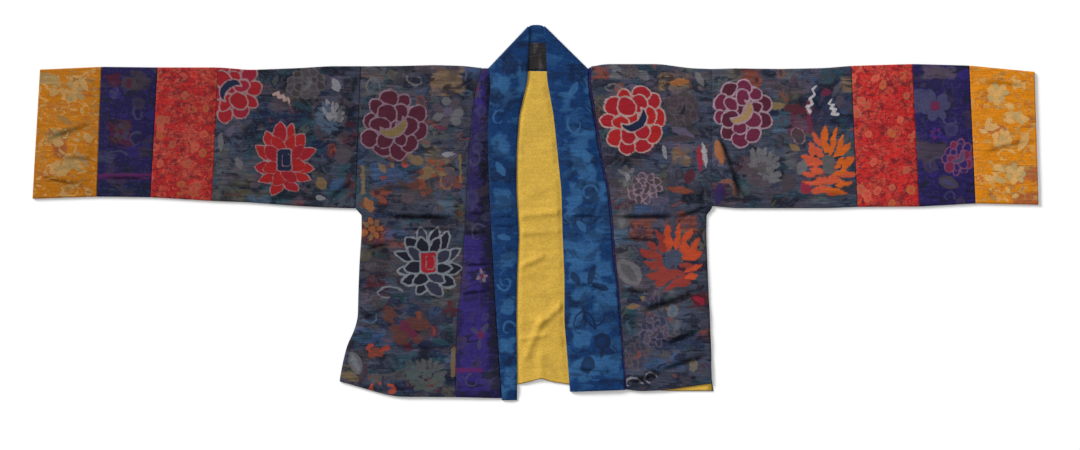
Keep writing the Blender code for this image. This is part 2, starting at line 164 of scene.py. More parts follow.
BACK_HEM = in_metres(
    EdgePoint,
    [
        (-313.5, -268), (-281, -276.5), (-241, -287), (-217, -290.5), (-129, -290.5), (-57, -282.5),
        (-28, -275), (-9, -271), (9, -265.5), (26.5, -271), (53.5, -275), (143, -280), (212, -285.5),
        (284, -285.5),
    ],
)
FoldLine = namedtuple("FoldLine", "free_x free_y seam_x seam_y")
COLLAR_FOLDS = {
    "right": FoldLine(-0.0100, 0.2955, -0.0745, 0.2275),
    "left": FoldLine(0.0125, 0.2960, 0.0845, 0.2250),
}
COLLAR_TOP = in_metres(EdgePoint, [(-8, 299), (-3, 300), (5, 300), (10.5, 299)])
COLLAR_LEG_TOP = {"right": 0.2225, "left": 0.2200}
# The strips end level with the shoulders, beside the corners of the folded collar.
STRIP_TOP = 0.2305
CollarEnd = namedtuple("CollarEnd", "free_y seam_y")
COLLAR_ENDS = {"right": CollarEnd(-0.3000, -0.2998), "left": CollarEnd(-0.2865, -0.2835)}
FacingEdge = namedtuple("FacingEdge", "y right left")
FACING = [FacingEdge(0.2712, -0.0300, 0.0345), FacingEdge(0.2283, -0.0700, 0.0770)]
ArmSection = namedtuple("ArmSection", "upper_x upper_y lower_x lower_y ends")
ARMS = {
    "right": in_metres(
        ArmSection,
        [
            (-279, 234, -288, 6.5, ""), (-329, 234, -333.5, 8, ""), (-377, 231, -381.5, 10.5, ""),
            (-457, 228, -461.5, 16.5, ""), (-507, 232, -517, 18.5, "sleeve"),
            (-604, 232, -615.5, 24.5, "red_band"), (-694, 233, -701.5, 25.5, "purple_band"),
            (-792, 228.5, -804, 22, "cuff"),
        ],
        4,
    ),
    "left": in_metres(
        ArmSection,
        [
            (282.5, 229.5, 282.5, 10.5, ""), (319, 230.5, 319, 7, ""), (391, 229.5, 391, 7, ""),
            (463, 231, 468, 7, ""), (505, 234.5, 515, 9, "sleeve"), (602.5, 237.5, 613.5, 9.5, "red_band"),
            (693.5, 235, 703.5, 14.5, "purple_band"), (797.5, 225, 804, 12.5, "cuff"),
        ],
        4,
    ),
}

# The largest folds, which the solids have too, and the sharper creases beside and between them. A
# crease's bow is how far its middle stands off the straight line, and its rise is the ridge above it.
Ridge = namedtuple("Ridge", "start_x start_y end_x end_y height width")
RIDGES = in_metres(
    Ridge,
    [
        (-250, 14, -120, 15, 2.6, 18), (-225, -40, -115, -44, 1.8, 18), (130, 8, 240, 10, 2.4, 18),
        (125, -26, 200, -26, 1.8, 16), (165, -140, 255, -112, 2.4, 18), (205, -192, 265, -168, 2, 18),
        (160, -250, 268, -208, 2.4, 20), (300, 110, 338, 20, 2.4, 20), (-345, 120, -460, 100, 1.4, 35),
        (560, 180, 640, 60, 1.4, 35), (-640, 175, -760, 90, 1.2, 35),
    ],
)
# The height of a ridge for its rise, the reach of its bank in widths of the crease, the depth at which
# the painted shade at the bottom of a crease is darkest, how dark that painted shade is, and the scale of
# the lining's folds.
CREASE_RISE = 3.2
CREASE_BANK = 3.2
DEEP_CREASE = 0.0020
CREASE_SHADE_DARKNESS = 0.70
LINING_DEPTH = 2.1
# Painted light: how much lighter the colours grow towards the wearer's left arm, and darker towards the
# right.
PAINTED_SIDE_LIGHT = 0.22
Crease = namedtuple("Crease", "start_x start_y end_x end_y bow depth width rise")
CREASES = in_metres(
    Crease,
    [
        (-248, -2, -116, -4, -2, 1.9, 4.5, 0.9), (-226, -25, -113, -28, 1.5, 1, 3.5, 0.5),
        (-275, 33, -190, 40, 3, 0.7, 6, 0.3), (-276, -60, -230, -48, 2, 0.8, 5, 0.4),
        (-200, -132, -122, -130, -2, 0.6, 5, 0.3), (-278, -172, -235, -150, 3, 0.9, 6, 0.4),
        (-235, -212, -140, -220, 3, 0.7, 7, 0.4), (121, -6, 228, -5, 1, 1.8, 4, 0.9),
        (220, -5, 272, 13, -3, 1.4, 4, 0.6), (124, -41, 188, -43, 1, 1.1, 3.5, 0.5),
        (130, -123, 186, -125, -1, 1.3, 3.5, 0.6), (164, -157, 256, -128, 1, 2.6, 5, 1.2),
        (208, -209, 264, -186, 1.5, 2, 4.5, 0.9), (150, -271, 203, -249, -1.5, 2, 4.5, 0.9),
        (196, -251, 276, -226, 1, 1.6, 4.5, 0.7), (285, 134, 326, 9, -5, 2.6, 5, 1.4),
        (316, 56, 342, 10, 1, 1.2, 4.5, 0.6), (-286, 56, -340, 12, 3, 1, 6, 0.5),
        (-305, 205, -318, 125, 2, 0.6, 7, 0.4), (-425, 30, -505, 48, 2, 0.7, 6, 0.3),
        (360, 218, 430, 195, 2, 0.6, 6, 0.4), (420, 20, 500, 33, 2, 0.7, 6, 0.3),
        (-705, 142, -790, 113, 4, 0.6, 7, 0.5), (-715, 45, -795, 62, -2, 0.8, 6, 0.7),
        (-705, 85, -760, 88, 2, 0.6, 5, 0.4), (-620, 56, -696, 56, 0, 0.8, 3, 0.4),
        (705, 210, 790, 202, 2, 0.6, 5, 0.4), (710, 95, 790, 115, 3, 0.5, 7, 0.4),
        (-124, 0, -76, -2, 1, 0.9, 3, 0.4), (-124, -34, -72, -31, 1, 0.9, 3, 0.4),
        (-125, -83, -70, -80, -1, 1, 3, 0.5), (-126, -131, -68, -124, 1, 0.8, 3, 0.4),
        (-74, -9, -33, -6, 1, 0.7, 2.5, 0.3), (-72, -21, -33, -23, 1, 0.6, 2.5, 0.3),
        (48, -5, 114, -8, 2, 0.6, 3.5, 0.3), (50, -112, 120, -124, 2, 0.6, 4, 0.3),
        (52, -245, 132, -253, -2, 0.6, 4, 0.4),
    ],
)
LINING_FOLDS = in_metres(
    Ridge,
    [
        (-28, -6, 42, 2, 1.1, 6), (-28, -33, 42, -30, 0.8, 5), (-24, -86, 10, -70, 1.1, 5),
        (8, -178, 40, -150, 1.2, 5.5), (-24, -202, 14, -196, 1, 5), (-15, -230, 9, -172, 1.1, 6),
        (9, -174, 42, -206, 1, 6), (9, -266, 9, -230, 1, 7),
    ],
)


def srgb(red, green, blue):
    """A colour as it looks, each part from 0 to 255, in linear light."""
    parts = []
    for part in (red, green, blue):
        share = part / 255
        parts.append(share / 12.92 if share < 0.04 else ((share + 0.055) / 1.055) ** 2.4)
    return tuple(parts)


# The colours of the woven figures, each part from 0 to 255.
DYE_PARTS = {
    "red": (186, 30, 46), "scarlet": (196, 35, 38), "crimson": (176, 32, 62), "rose": (188, 146, 150),
    "shell": (205, 170, 165), "plum": (96, 34, 56), "wine": (122, 40, 72), "mauve": (158, 130, 148),
    "pink": (186, 156, 172), "slate": (58, 60, 84), "slate_blue": (78, 86, 112), "silver": (150, 156, 166),
    "coral": (226, 96, 62), "orange": (232, 108, 34), "brick": (204, 74, 48), "ember": (162, 62, 54),
    "flame": (218, 84, 46), "rust": (158, 78, 52), "navy": (26, 40, 78), "ink": (30, 32, 52),
    "night": (12, 15, 28), "blue": (66, 96, 142), "sky": (92, 118, 146), "teal": (44, 84, 98),
    "grey": (104, 102, 104), "ash": (128, 126, 130), "pale": (168, 166, 176), "white": (208, 202, 206),
    "greyplum": (98, 84, 96), "umber": (80, 68, 72), "olive": (104, 98, 76), "tan": (152, 122, 88),
    "sand": (186, 150, 104), "gold": (150, 126, 82), "amber": (190, 116, 62), "moss": (96, 108, 104),
    "lilac": (110, 100, 128), "maroon": (96, 28, 42), "violet": (60, 45, 136), "magenta": (110, 36, 104),
    "haze": (76, 76, 112), "purple_ground": (48, 36, 100), "lapis": (56, 110, 164), "deep": (14, 36, 74),
    "cream": (210, 168, 104), "bronze": (160, 124, 70), "salmon": (204, 120, 92),
    "collar_blue": (30, 66, 118), "sage": (178, 158, 106), "orchid": (128, 74, 112), "clay": (150, 98, 80),
    "russet": (116, 66, 54),
}
DYES = {name: srgb(*parts) for name, parts in DYE_PARTS.items()}

# What is placed on each solid's cloth, in millimetres and degrees. A patch of another ground has
# its place, half sizes and colour. A figure has its kind, place, half sizes across and along it before its
# turn, and the names of its main and second colour, outline and heart, where - is none.
PATCHES = {
    "sleeve_right": [
        (-425, 142, 30, 20, "navy"), (-372, 150, 16, 30, "night"), (-446, 92, 16, 26, "teal"),
        (-337, 100, 20, 12, "navy"), (-300, 116, 12, 12, "maroon"), (-340, 66, 16, 12, "night"),
        (-298, 180, 10, 36, "night"), (-418, 214, 24, 8, "night"), (-400, 150, 40, 12, "navy"),
        (-380, 32, 40, 12, "night"), (-316, 128, 14, 10, "night"), (-348, 46, 26, 8, "night"),
        (-471, 41, 16, 12, "olive"), (-490, 26, 22, 8, "olive"), (-501, 74, 10, 36, "grey"),
        (-446, 128, 14, 18, "ink"), (-297, 44, 8, 20, "maroon"), (-316, 44, 10, 12, "blue"),
    ],
    "sleeve_left": [
        (296, 214, 16, 22, "grey"), (402, 186, 22, 16, "olive"), (392, 140, 15, 14, "sky"),
        (404, 200, 34, 12, "greyplum"), (420, 140, 14, 20, "wine"), (474, 166, 36, 28, "navy"),
        (497, 204, 10, 14, "tan"), (388, 20, 20, 8, "night"),
    ],
    "front_right": [
        (-245, 208, 34, 26, "grey"), (-143, 206, 28, 20, "tan"), (-165, 92, 14, 12, "gold"),
        (-228, 62, 34, 16, "blue"), (-246, -84, 30, 26, "umber"), (-262, -34, 14, 16, "maroon"),
        (-252, -110, 16, 10, "maroon"), (-250, -64, 18, 10, "night"), (-200, 30, 40, 16, "umber"),
        (-158, 74, 20, 14, "tan"), (-230, -190, 40, 24, "navy"), (-190, -240, 44, 16, "teal"),
        (-258, -200, 30, 14, "blue"), (-160, -218, 26, 14, "navy"), (-296, -256, 12, 12, "gold"),
    ],
    "front_left": [
        (106, 222, 12, 8, "rust"), (150, 222, 30, 10, "ash"), (132, 83, 20, 5, "night"),
        (250, 24, 20, 8, "night"), (224, 208, 26, 14, "tan"), (232, 92, 14, 14, "tan"),
        (222, 108, 28, 6, "lilac"), (262, -140, 14, 10, "maroon"), (146, -172, 14, 24, "teal"),
        (230, -205, 40, 14, "navy"), (200, -240, 36, 12, "blue"), (180, -140, 30, 10, "navy"),
        (160, -270, 24, 12, "ink"),
    ],
    # On the right strip, the night and ink patches along its seam with the collar are painted shade of the
    # dip beside the collar.
    "front_strip_right": [
        (-102, -100, 16, 60, "violet"), (-98, -220, 22, 70, "violet"), (-73, 180, 7, 40, "night"),
        (-76, 110, 10, 50, "night"), (-76, 35, 12, 50, "night"), (-92, 180, 10, 36, "violet"),
        (-100, 105, 10, 50, "purple_ground"), (-104, 30, 10, 40, "purple_ground"), (-74, -30, 7, 40, "ink"),
        (-70, -100, 7, 40, "ink"), (-66, -170, 7, 40, "ink"), (-61, -240, 7, 50, "ink"),
    ],
    "purple_band_left": [
        (644, 223, 26, 9, "greyplum"),
    ],
    "purple_band_right": [
        (-663, 127, 18, 20, "maroon"), (-632, 209, 14, 16, "umber"), (-676, 212, 10, 10, "maroon"),
        (-655, 36, 50, 10, "deep"),
    ],
    "collar": [
        (66, -82, 12, 12, "lapis"), (110, -90, 10, 14, "lapis"), (74, -127, 12, 12, "lapis"),
        (111, -136, 18, 20, "lapis"), (65, -169, 9, 12, "lapis"), (73, -201, 13, 13, "lapis"),
        (113, -244, 22, 14, "lapis"), (78, -264, 10, 9, "lapis"), (50, 176, 10, 14, "lapis"),
        (70, 104, 12, 12, "lapis"), (82, 60, 14, 10, "lapis"), (62, 10, 10, 16, "lapis"),
        (98, -34, 14, 10, "lapis"), (-50, 204, 10, 12, "lapis"), (-56, 110, 12, 14, "lapis"),
        (-52, 20, 12, 14, "lapis"), (-46, -76, 12, 12, "lapis"), (-44, -150, 10, 14, "lapis"),
        (-46, -214, 12, 12, "lapis"), (-40, -262, 10, 16, "lapis"),
    ],
}
FIGURES = {
    "sleeve_right": [
        ("rose", -367, 206, 32, 26, 10, "greyplum umber grey ash"), ("leaf", -319, 203, 7, 11, 20, "pale"),
        ("aster", -329, 154, 24, 28, 0, "sky pale - pale"), ("leaf", -473, 78, 6, 11, 15, "ash"),
        ("leaf", -503, 112, 5, 16, 0, "ash"), ("leaf", -487, 130, 6, 12, -30, "lilac"),
        ("squiggle", -404, 184, 14, 6, -30, "shell"), ("leaf", -342, 46, 9, 11, 30, "gold tan"),
        ("leaf", -343, 23, 4, 9, 80, "pale"), ("curl", -322, 78, 20, 20, 200, "slate_blue"),
        ("leaf", -308, 88, 12, 10, 0, "greyplum"),
        ("peony", -487, 195, 49, 52, 175, "red crimson rose navy"),
        ("lotus", -401, 84, 46, 61, 0, "scarlet red rose navy"),
    ],
    "sleeve_left": [
        ("leaf", 414, 166, 7, 24, 82, "maroon"), ("leaf", 386, 170, 6, 14, 90, "gold"),
        ("stalk", 438, 152, 4, 28, 4, "wine"), ("leaf", 420, 122, 10, 14, 20, "umber - mauve"),
        ("leaf", 414, 104, 5, 10, 60, "tan"), ("rose", 361, 71, 27, 27, 0, "greyplum grey ash umber"),
        ("aster", 361, 71, 34, 36, 0, "greyplum ash - grey"), ("leaf", 404, 48, 12, 14, 40, "umber"),
        ("curl", 303, 36, 18, 22, -20, "clay"), ("curl", 303, 34, 14, 19, -20, "clay"),
        ("leaf", 294, 30, 9, 18, -12, "purple_ground"), ("leaf", 294, 96, 7, 22, 14, "amber"),
        ("squiggle", 441, 182, 22, 5, 75, "white"), ("squiggle", 475, 167, 13, 6, 110, "white"),
        ("leaf", 465, 192, 6, 8, 90, "wine"), ("leaf", 432, 40, 8, 12, 20, "crimson"),
        ("leaf", 426, 72, 8, 14, -20, "ash"), ("peony", 329, 160, 47, 56, 4, "wine plum pink sand"),
        ("strokes", 468, 76, 42, 62, 0, "coral orange - grey"),
    ],
    "front_right": [
        ("curl", -262, 200, 14, 18, 0, "ash"), ("curl", -190, 212, 16, 12, 160, "ash"),
        ("bloom", -140, 160, 26, 28, 0, "greyplum ash - lilac"), ("leaf", -152, 136, 4, 12, 84, "wine"),
        ("leaf", -140, 94, 4, 10, 90, "pale"), ("leaf", -209, 76, 5, 7, 80, "brick"),
        ("leaf", -243, 56, 4, 8, 90, "rust"), ("leaf", -239, 32, 4, 10, 100, "rust"),
        ("leaf", -180, 40, 6, 16, 12, "rust"), ("leaf", -204, 22, 8, 12, 90, "greyplum"),
        ("curl", -140, 50, 16, 22, 60, "tan"), ("leaf", -136, 60, 8, 16, 30, "greyplum"),
        ("stalk", -120, 70, 2, 24, 4, "gold"), ("stalk", -276, 52, 3, 24, 0, "tan"),
        ("leaf", -266, 12, 7, 14, 20, "amber"), ("bloom", -261, -26, 20, 20, 0, "tan amber maroon amber"),
        ("spray", -222, 82, 34, 14, 0, "russet tan"), ("spray", -168, 68, 28, 20, 0, "tan rust"),
        ("spray", -200, 46, 34, 14, 0, "russet umber"), ("spray", -250, 30, 14, 18, 0, "rust maroon"),
        ("spray", -206, -182, 36, 28, 0, "russet umber"), ("curl", -236, -130, 24, 14, 20, "silver"),
        ("curl", -262, -166, 14, 12, 200, "sky"), ("bloom", -136, -155, 14, 15, 0, "umber maroon - plum"),
        ("spray", -208, -192, 22, 22, 0, "russet wine"), ("leaf", -185, -164, 6, 7, 0, "rust"),
        ("leaf", -163, -190, 6, 10, 20, "wine rust"), ("spray", -252, -222, 16, 12, 0, "brick rust"),
        ("leaf", -152, -206, 5, 14, 70, "teal"), ("leaf", -176, -210, 6, 14, 100, "navy"),
        ("aster", -174, -260, 34, 30, 0, "moss grey - moss"),
        ("spray", -246, -281, 24, 9, 0, "coral brick"), ("leaf", -288, -240, 10, 20, 24, "ash silver"),
        ("stalk", -131, -240, 4, 24, 0, "tan"), ("peony", -227, 138, 52, 58, -20, "plum plum mauve gold"),
        ("lotus", -171, -80, 53, 60, 0, "ink slate silver red"),
    ],
    "front_left": [
        ("curl", 122, 198, 16, 8, 0, "ash"), ("leaf", 230, 208, 6, 16, 90, "amber"),
        ("leaf", 262, 214, 5, 14, 30, "ash"), ("rose", 232, 166, 30, 28, 0, "umber umber greyplum ink"),
        ("leaf", 236, 128, 6, 20, 64, "lilac"), ("leaf", 228, 118, 6, 22, 88, "umber"),
        ("leaf", 206, 96, 4, 12, 10, "pale"), ("leaf", 262, 86, 5, 22, 4, "crimson red"),
        ("leaf", 270, 92, 4, 22, 8, "white"), ("rose", 175, 39, 30, 24, 20, "greyplum umber mauve umber"),
        ("bloom", 146, 58, 16, 18, 0, "ash grey - pale"), ("leaf", 232, 36, 6, 24, 80, "rust"),
        ("leaf", 246, 58, 8, 14, -20, "maroon"), ("curl", 158, -30, 12, 16, 90, "umber"),
        ("leaf", 138, -12, 12, 14, 0, "grey ash"), ("leaf", 150, -96, 18, 26, 40, "ash grey greyplum"),
        ("leaf", 126, -68, 4, 18, 10, "maroon"), ("leaf", 262, -140, 10, 14, 60, "maroon crimson"),
        ("leaf", 156, -150, 5, 12, 90, "tan"), ("leaf", 172, -137, 4, 5, 0, "gold"),
        ("leaf", 219, -158, 9, 11, 0, "ash sky"), ("leaf", 226, -180, 7, 9, 0, "grey sky"),
        ("rose", 190, -190, 23, 26, 0, "slate greyplum lilac umber"),
        ("rose", 162, -228, 20, 22, 0, "slate umber greyplum rust"),
        ("leaf", 252, -244, 8, 12, 0, "ash gold"), ("curl", 154, -273, 17, 11, 0, "pale"),
        ("curl", 182, -266, 13, 12, 20, "pale"), ("peony", 158, 148, 52, 60, -8, "red scarlet shell navy"),
        ("strokes", 219, -73, 52, 57, 0, "ember flame - slate_blue"),
    ],
    "front_strip_right": [
        ("bar", -106, -252, 22, 3.5, 0, "magenta"), ("bloom", -86, -102, 9, 13, 0, "haze mauve - wine"),
        ("bloom", -88, -196, 16, 24, 0, "haze violet - wine"),
        ("bloom", -94, 196, 8, 16, 0, "umber haze - wine"), ("curl", -92, -34, 14, 18, 40, "haze"),
        ("curl", -96, 90, 10, 18, 200, "haze"), ("curl", -100, -270, 14, 12, 100, "haze"),
    ],
    "purple_band_left": [
        ("bloom", 639, 170, 26, 26, 0, "haze haze - wine"),
        ("peony", 676, 88, 25, 31, 0, "purple_ground wine orchid haze"),
        ("bloom", 640, 126, 10, 12, 0, "magenta violet"), ("curl", 664, 148, 14, 10, 150, "haze"),
        ("curl", 640, 76, 16, 14, 30, "haze"), ("leaf", 660, 48, 10, 18, 70, "umber haze"),
    ],
    "purple_band_right": [
        ("bar", -660, 54.5, 50, 1.2, 0, "magenta"), ("bar", -660, 60, 50, 2.4, 0, "magenta"),
        ("bloom", -672, 190, 12, 10, 0, "haze violet - haze"),
        ("bloom", -662, 128, 14, 16, 0, "umber haze - plum"), ("curl", -634, 158, 10, 13, 130, "haze"),
        ("curl", -638, 116, 12, 14, 60, "haze"), ("curl", -672, 90, 20, 10, 10, "haze"),
        ("leaf", -650, 206, 12, 10, 0, "umber plum"),
    ],
    "collar": [
        ("curl", 74, -182, 22, 30, -10, "deep"), ("curl", 98, -158, 22, 30, 170, "deep"),
        ("rosette", 106, -206, 13, 14, 0, "deep collar_blue"), ("leaf", 106, -224, 4, 9, 0, "deep"),
        ("rosette", 84, -244, 11, 14, 0, "deep lapis"), ("leaf", 90, -100, 6, 18, -18, "deep"),
        ("leaf", 104, -118, 5, 16, 70, "deep"), ("leaf", 64, -104, 6, 12, 30, "deep"),
        ("curl", 98, -262, 16, 14, 30, "lapis"), ("curl", 80, -50, 18, 16, 200, "lapis"),
        ("leaf", 74, -22, 6, 12, 40, "lapis"), ("curl", 86, 30, 14, 16, 20, "lapis"),
        ("curl", 64, 140, 14, 16, 140, "lapis"), ("leaf", 60, 196, 6, 14, -30, "lapis"),
        ("leaf", 82, 90, 6, 12, 20, "lapis"), ("curl", -58, 150, 12, 14, 60, "lapis"),
        ("leaf", -56, 70, 6, 14, 30, "lapis"), ("leaf", -50, -40, 5, 12, 80, "lapis"),
        ("curl", -48, -112, 12, 14, 200, "lapis"), ("curl", -44, -186, 12, 14, 20, "lapis"),
        ("leaf", -42, -236, 5, 12, -40, "deep"),
    ],
    "cuff_right": [
        ("bloom", -737, 193, 17, 21, 20, "cream sage - cream"),
        ("spray", -766, 193, 10, 8, 0, "cream cream"), ("leaf", -722, 206, 5, 16, 30, "cream"),
        ("spray", -772, 124, 13, 16, 0, "cream sage"), ("spray", -720, 122, 16, 10, 0, "cream cream"),
        ("leaf", -752, 148, 4, 18, 60, "bronze"), ("bloom", -760, 70, 22, 13, 0, "cream cream - sage"),
        ("spray", -734, 76, 18, 14, 0, "cream sage"), ("leaf", -724, 86, 5, 16, 40, "sand"),
        ("spray", -732, 36, 26, 10, 0, "cream bronze"), ("curl", -744, 104, 16, 12, 200, "cream"),
    ],
    "cuff_left": [
        ("bloom", 738, 190, 20, 20, 10, "cream sage - cream"),
        ("spray", 772, 204, 12, 10, 0, "cream cream"), ("spray", 770, 158, 16, 14, 0, "cream sage"),
        ("bloom", 746, 118, 20, 16, 0, "cream cream - sage"), ("spray", 726, 140, 12, 12, 0, "cream cream"),
        ("leaf", 780, 112, 6, 18, -30, "cream"), ("bloom", 768, 62, 20, 18, 0, "cream sage - cream"),
        ("spray", 732, 66, 14, 18, 0, "cream sage"), ("curl", 750, 90, 16, 12, 20, "cream"),
        ("spray", 748, 30, 30, 10, 0, "cream bronze"),
    ],
}

# Small figures that fill a cloth: how many lie on a square metre, their sizes and their colours. Blocks
# are larger, and change the ground itself.
Scatter = namedtuple("Scatter", "blocks density low high ragged kinds dyes")
SCATTERS = {
    "brocade": Scatter(
        760, 1300, 0.006, 0.016, 0.0040, "leaf leaf curl aster rose leaf spray".split(),
        "slate_blue grey greyplum umber teal ink navy lilac olive ink moss slate blue sky umber navy ink"
        " maroon rust".split(),
    ),
    "red": Scatter(
        0, 1150, 0.0050, 0.0082, 0.0014, "rosette rosette rosette curl".split(),
        "salmon tan salmon bronze".split(),
    ),
    "purple": Scatter(
        90, 700, 0.006, 0.014, 0.0016, "curl leaf rosette".split(), "haze violet umber ink".split()
    ),
    "gold": Scatter(
        180, 480, 0.004, 0.010, 0.0040, "spray spray curl".split(), "cream bronze sage rust".split()
    ),
    "collar": Scatter(
        260, 260, 0.006, 0.012, 0.0024, "leaf curl".split(), "lapis deep lapis deep".split()
    ),
}
PLAIN = Scatter(0, 0, 0, 0, 0, (), ())


def mix(low, high, share):
    return low + (high - low) * share


def smooth(share):
    """An easing from 0 to 1."""
    share = np.clip(share, 0.0, 1.0)
    return share * share * (3 - 2 * share)


def reading(table, column, at, ease=EASE):
    """A column of a table, read between its rows and level past its ends, with its corners eased."""
    rows = sorted(table)
    knots = [row[0] for row in rows]
    values = [getattr(row, column) for row in rows]
    return sum(np.interp(at + shift * ease, knots, values) for shift in (-1, -0.5, 0, 0.5, 1)) / 5


def side_reading(column, y):
    """The body's outline, which keeps its corner at the underarm."""
    return reading(SIDES, column, y, ease=np.clip(np.abs(y - 0.002) - 0.0062, 0, EASE))


def field(x, y, across, along, seed):
    """Smooth unevenness from -1 to 1, whose swells are about across by along in size."""
    lattice = np.random.default_rng(seed).uniform(-1, 1, (64, 64))
    total = np.zeros_like(x)
    for turn, weight in ((0.35, 0.6), (-0.9, 0.4)):
        u = (x * math.cos(turn * 0.3) + y * math.sin(turn * 0.3)) / across + 31.7
        v = (y * math.cos(turn * 0.3) - x * math.sin(turn * 0.3)) / along + 17.3 + turn
        column, row = np.floor(u).astype(int), np.floor(v).astype(int)
        s, t = smooth(u - column), smooth(v - row)
        near = mix(lattice[row % 64, column % 64], lattice[row % 64, (column + 1) % 64], s)
        far = mix(lattice[(row + 1) % 64, column % 64], lattice[(row + 1) % 64, (column + 1) % 64], s)
        total += weight * mix(near, far, t)
    return total


def along_line(fold, x, y):
    """(share of the way along a fold, distance to the left of it, its length) at points."""
    run_x, run_y = fold.end_x - fold.start_x, fold.end_y - fold.start_y
    length = math.hypot(run_x, run_y)
    away_x, away_y = x - fold.start_x, y - fold.start_y
    share = (away_x * run_x + away_y * run_y) / length**2
    return share, (away_y * run_x - away_x * run_y) / length, length


def ridges(x, y, folds):
    """How much the largest folds lift the cloth."""
    height = np.zeros_like(x)
    for fold in folds:
        share, aside, length = along_line(fold, x, y)
        past = (share - np.clip(share, 0, 1)) * length
        height += fold.height * np.exp(-(aside**2 + past**2) / fold.width**2)
    return height


def crease_sides(x, y):
    """Each crease with how much of it there is at points, and how far off its bottom they are."""
    for crease in CREASES:
        share, aside, _ = along_line(crease, x, y)
        # The ridge stands on the upper left of its trough.
        if 0.65 * (crease.end_x - crease.start_x) + 0.76 * (crease.end_y - crease.start_y) < 0:
            aside = -aside
        inside = np.clip(share, 0, 1)
        taper = smooth((0.5 - np.abs(share - 0.5)) / 0.32)
        yield crease, taper, aside - crease.bow * 4 * inside * (1 - inside)


def creases(x, y):
    """Troughs that taper out at both ends, each with a soft ridge beside it."""
    height = np.zeros_like(x)
    for crease, taper, aside in crease_sides(x, y):
        trough = np.exp(-(((aside + 0.8 * crease.width) / crease.width) ** 2))
        bank = np.exp(-np.maximum(aside, 0) / (CREASE_BANK * crease.width))
        bank = smooth(aside / crease.width + 0.7) * bank
        height += taper * (CREASE_RISE * crease.rise * bank - crease.depth * trough)
    return height


def painted_crease_shade(x, y):
    """How much painted shade darkens the bottoms of the creases, from 0 to 1."""
    painted_shade = np.zeros_like(x)
    for crease, taper, aside in crease_sides(x, y):
        deep = min(1, crease.depth / DEEP_CREASE)
        painted_shade = np.maximum(painted_shade, deep * taper * np.exp(-((aside / crease.width + 0.4) ** 2)))
    return painted_shade


# Swells of the cloth, and fine wrinkles along the weft: their height, size and seed.
Swell = namedtuple("Swell", "height across along seed")
SWELLS = (
    Swell(0.00042, 0.055, 0.038, 11), Swell(0.00022, 0.024, 0.014, 12),
    Swell(0.00011, 0.016, 0.0045, 13), Swell(0.00007, 0.0070, 0.0048, 14),
)
LINING_SWELL = Swell(0.0011, 0.030, 0.016, 31)
LINING_WRINKLES = (Swell(0.00050, 0.020, 0.0060, 32), Swell(0.00008, 0.006, 0.004, 33))


def rumple(x, y):
    """The small unevenness of cloth that lies flat."""
    return sum(swell.height * field(x, y, *swell[1:]) for swell in SWELLS)


# How far in from a seam the cloth lies calm, lifts to its loft and dips, and the lowest that it goes.
CALM_REACH = 0.014
CALM_SHARE = 0.25
LOFT_REACH = 0.020
DIP_REACH = 0.0022
LOWEST_RELIEF = -0.0003


def relief(x, y, near):
    """The lift of a piece on top, at a distance from its nearest seam or edge."""
    sizes = bpy.context.scene.robe_sizes
    calm = CALM_SHARE + (1 - CALM_SHARE) * smooth(near / CALM_REACH)
    dip = sizes.seam_dip * np.exp(-((near / DIP_REACH) ** 2))
    loft = sizes.loft * smooth(near / LOFT_REACH) - dip
    fine = (creases(x, y) * sizes.crease_depth + rumple(x, y) * sizes.rumple) * calm
    return np.maximum(ridges(x, y, RIDGES) + loft + fine, LOWEST_RELIEF)


def curl(distance):
    """How far an edge turns down at a distance inside it, from 1 at the edge to 0."""
    return np.maximum(0.0, 1 - distance / CURL_REACH) ** CURL_SHARPNESS


def top_height(x, y, near, turn_down, wall):
    """The middle surface of the cloth on top: its relief, turned edges and droop past the back."""
    lift = relief(x, y, near) * (1 - turn_down) - CURL_DROP * turn_down
    below_back = reading(BACK_HEM, "y", x) - y - DROOP_START
    droop = DROOP * smooth(below_back / DROOP_REACH)
    return np.maximum(FRONT_BOTTOM + wall / 2 + lift - droop, wall / 2)


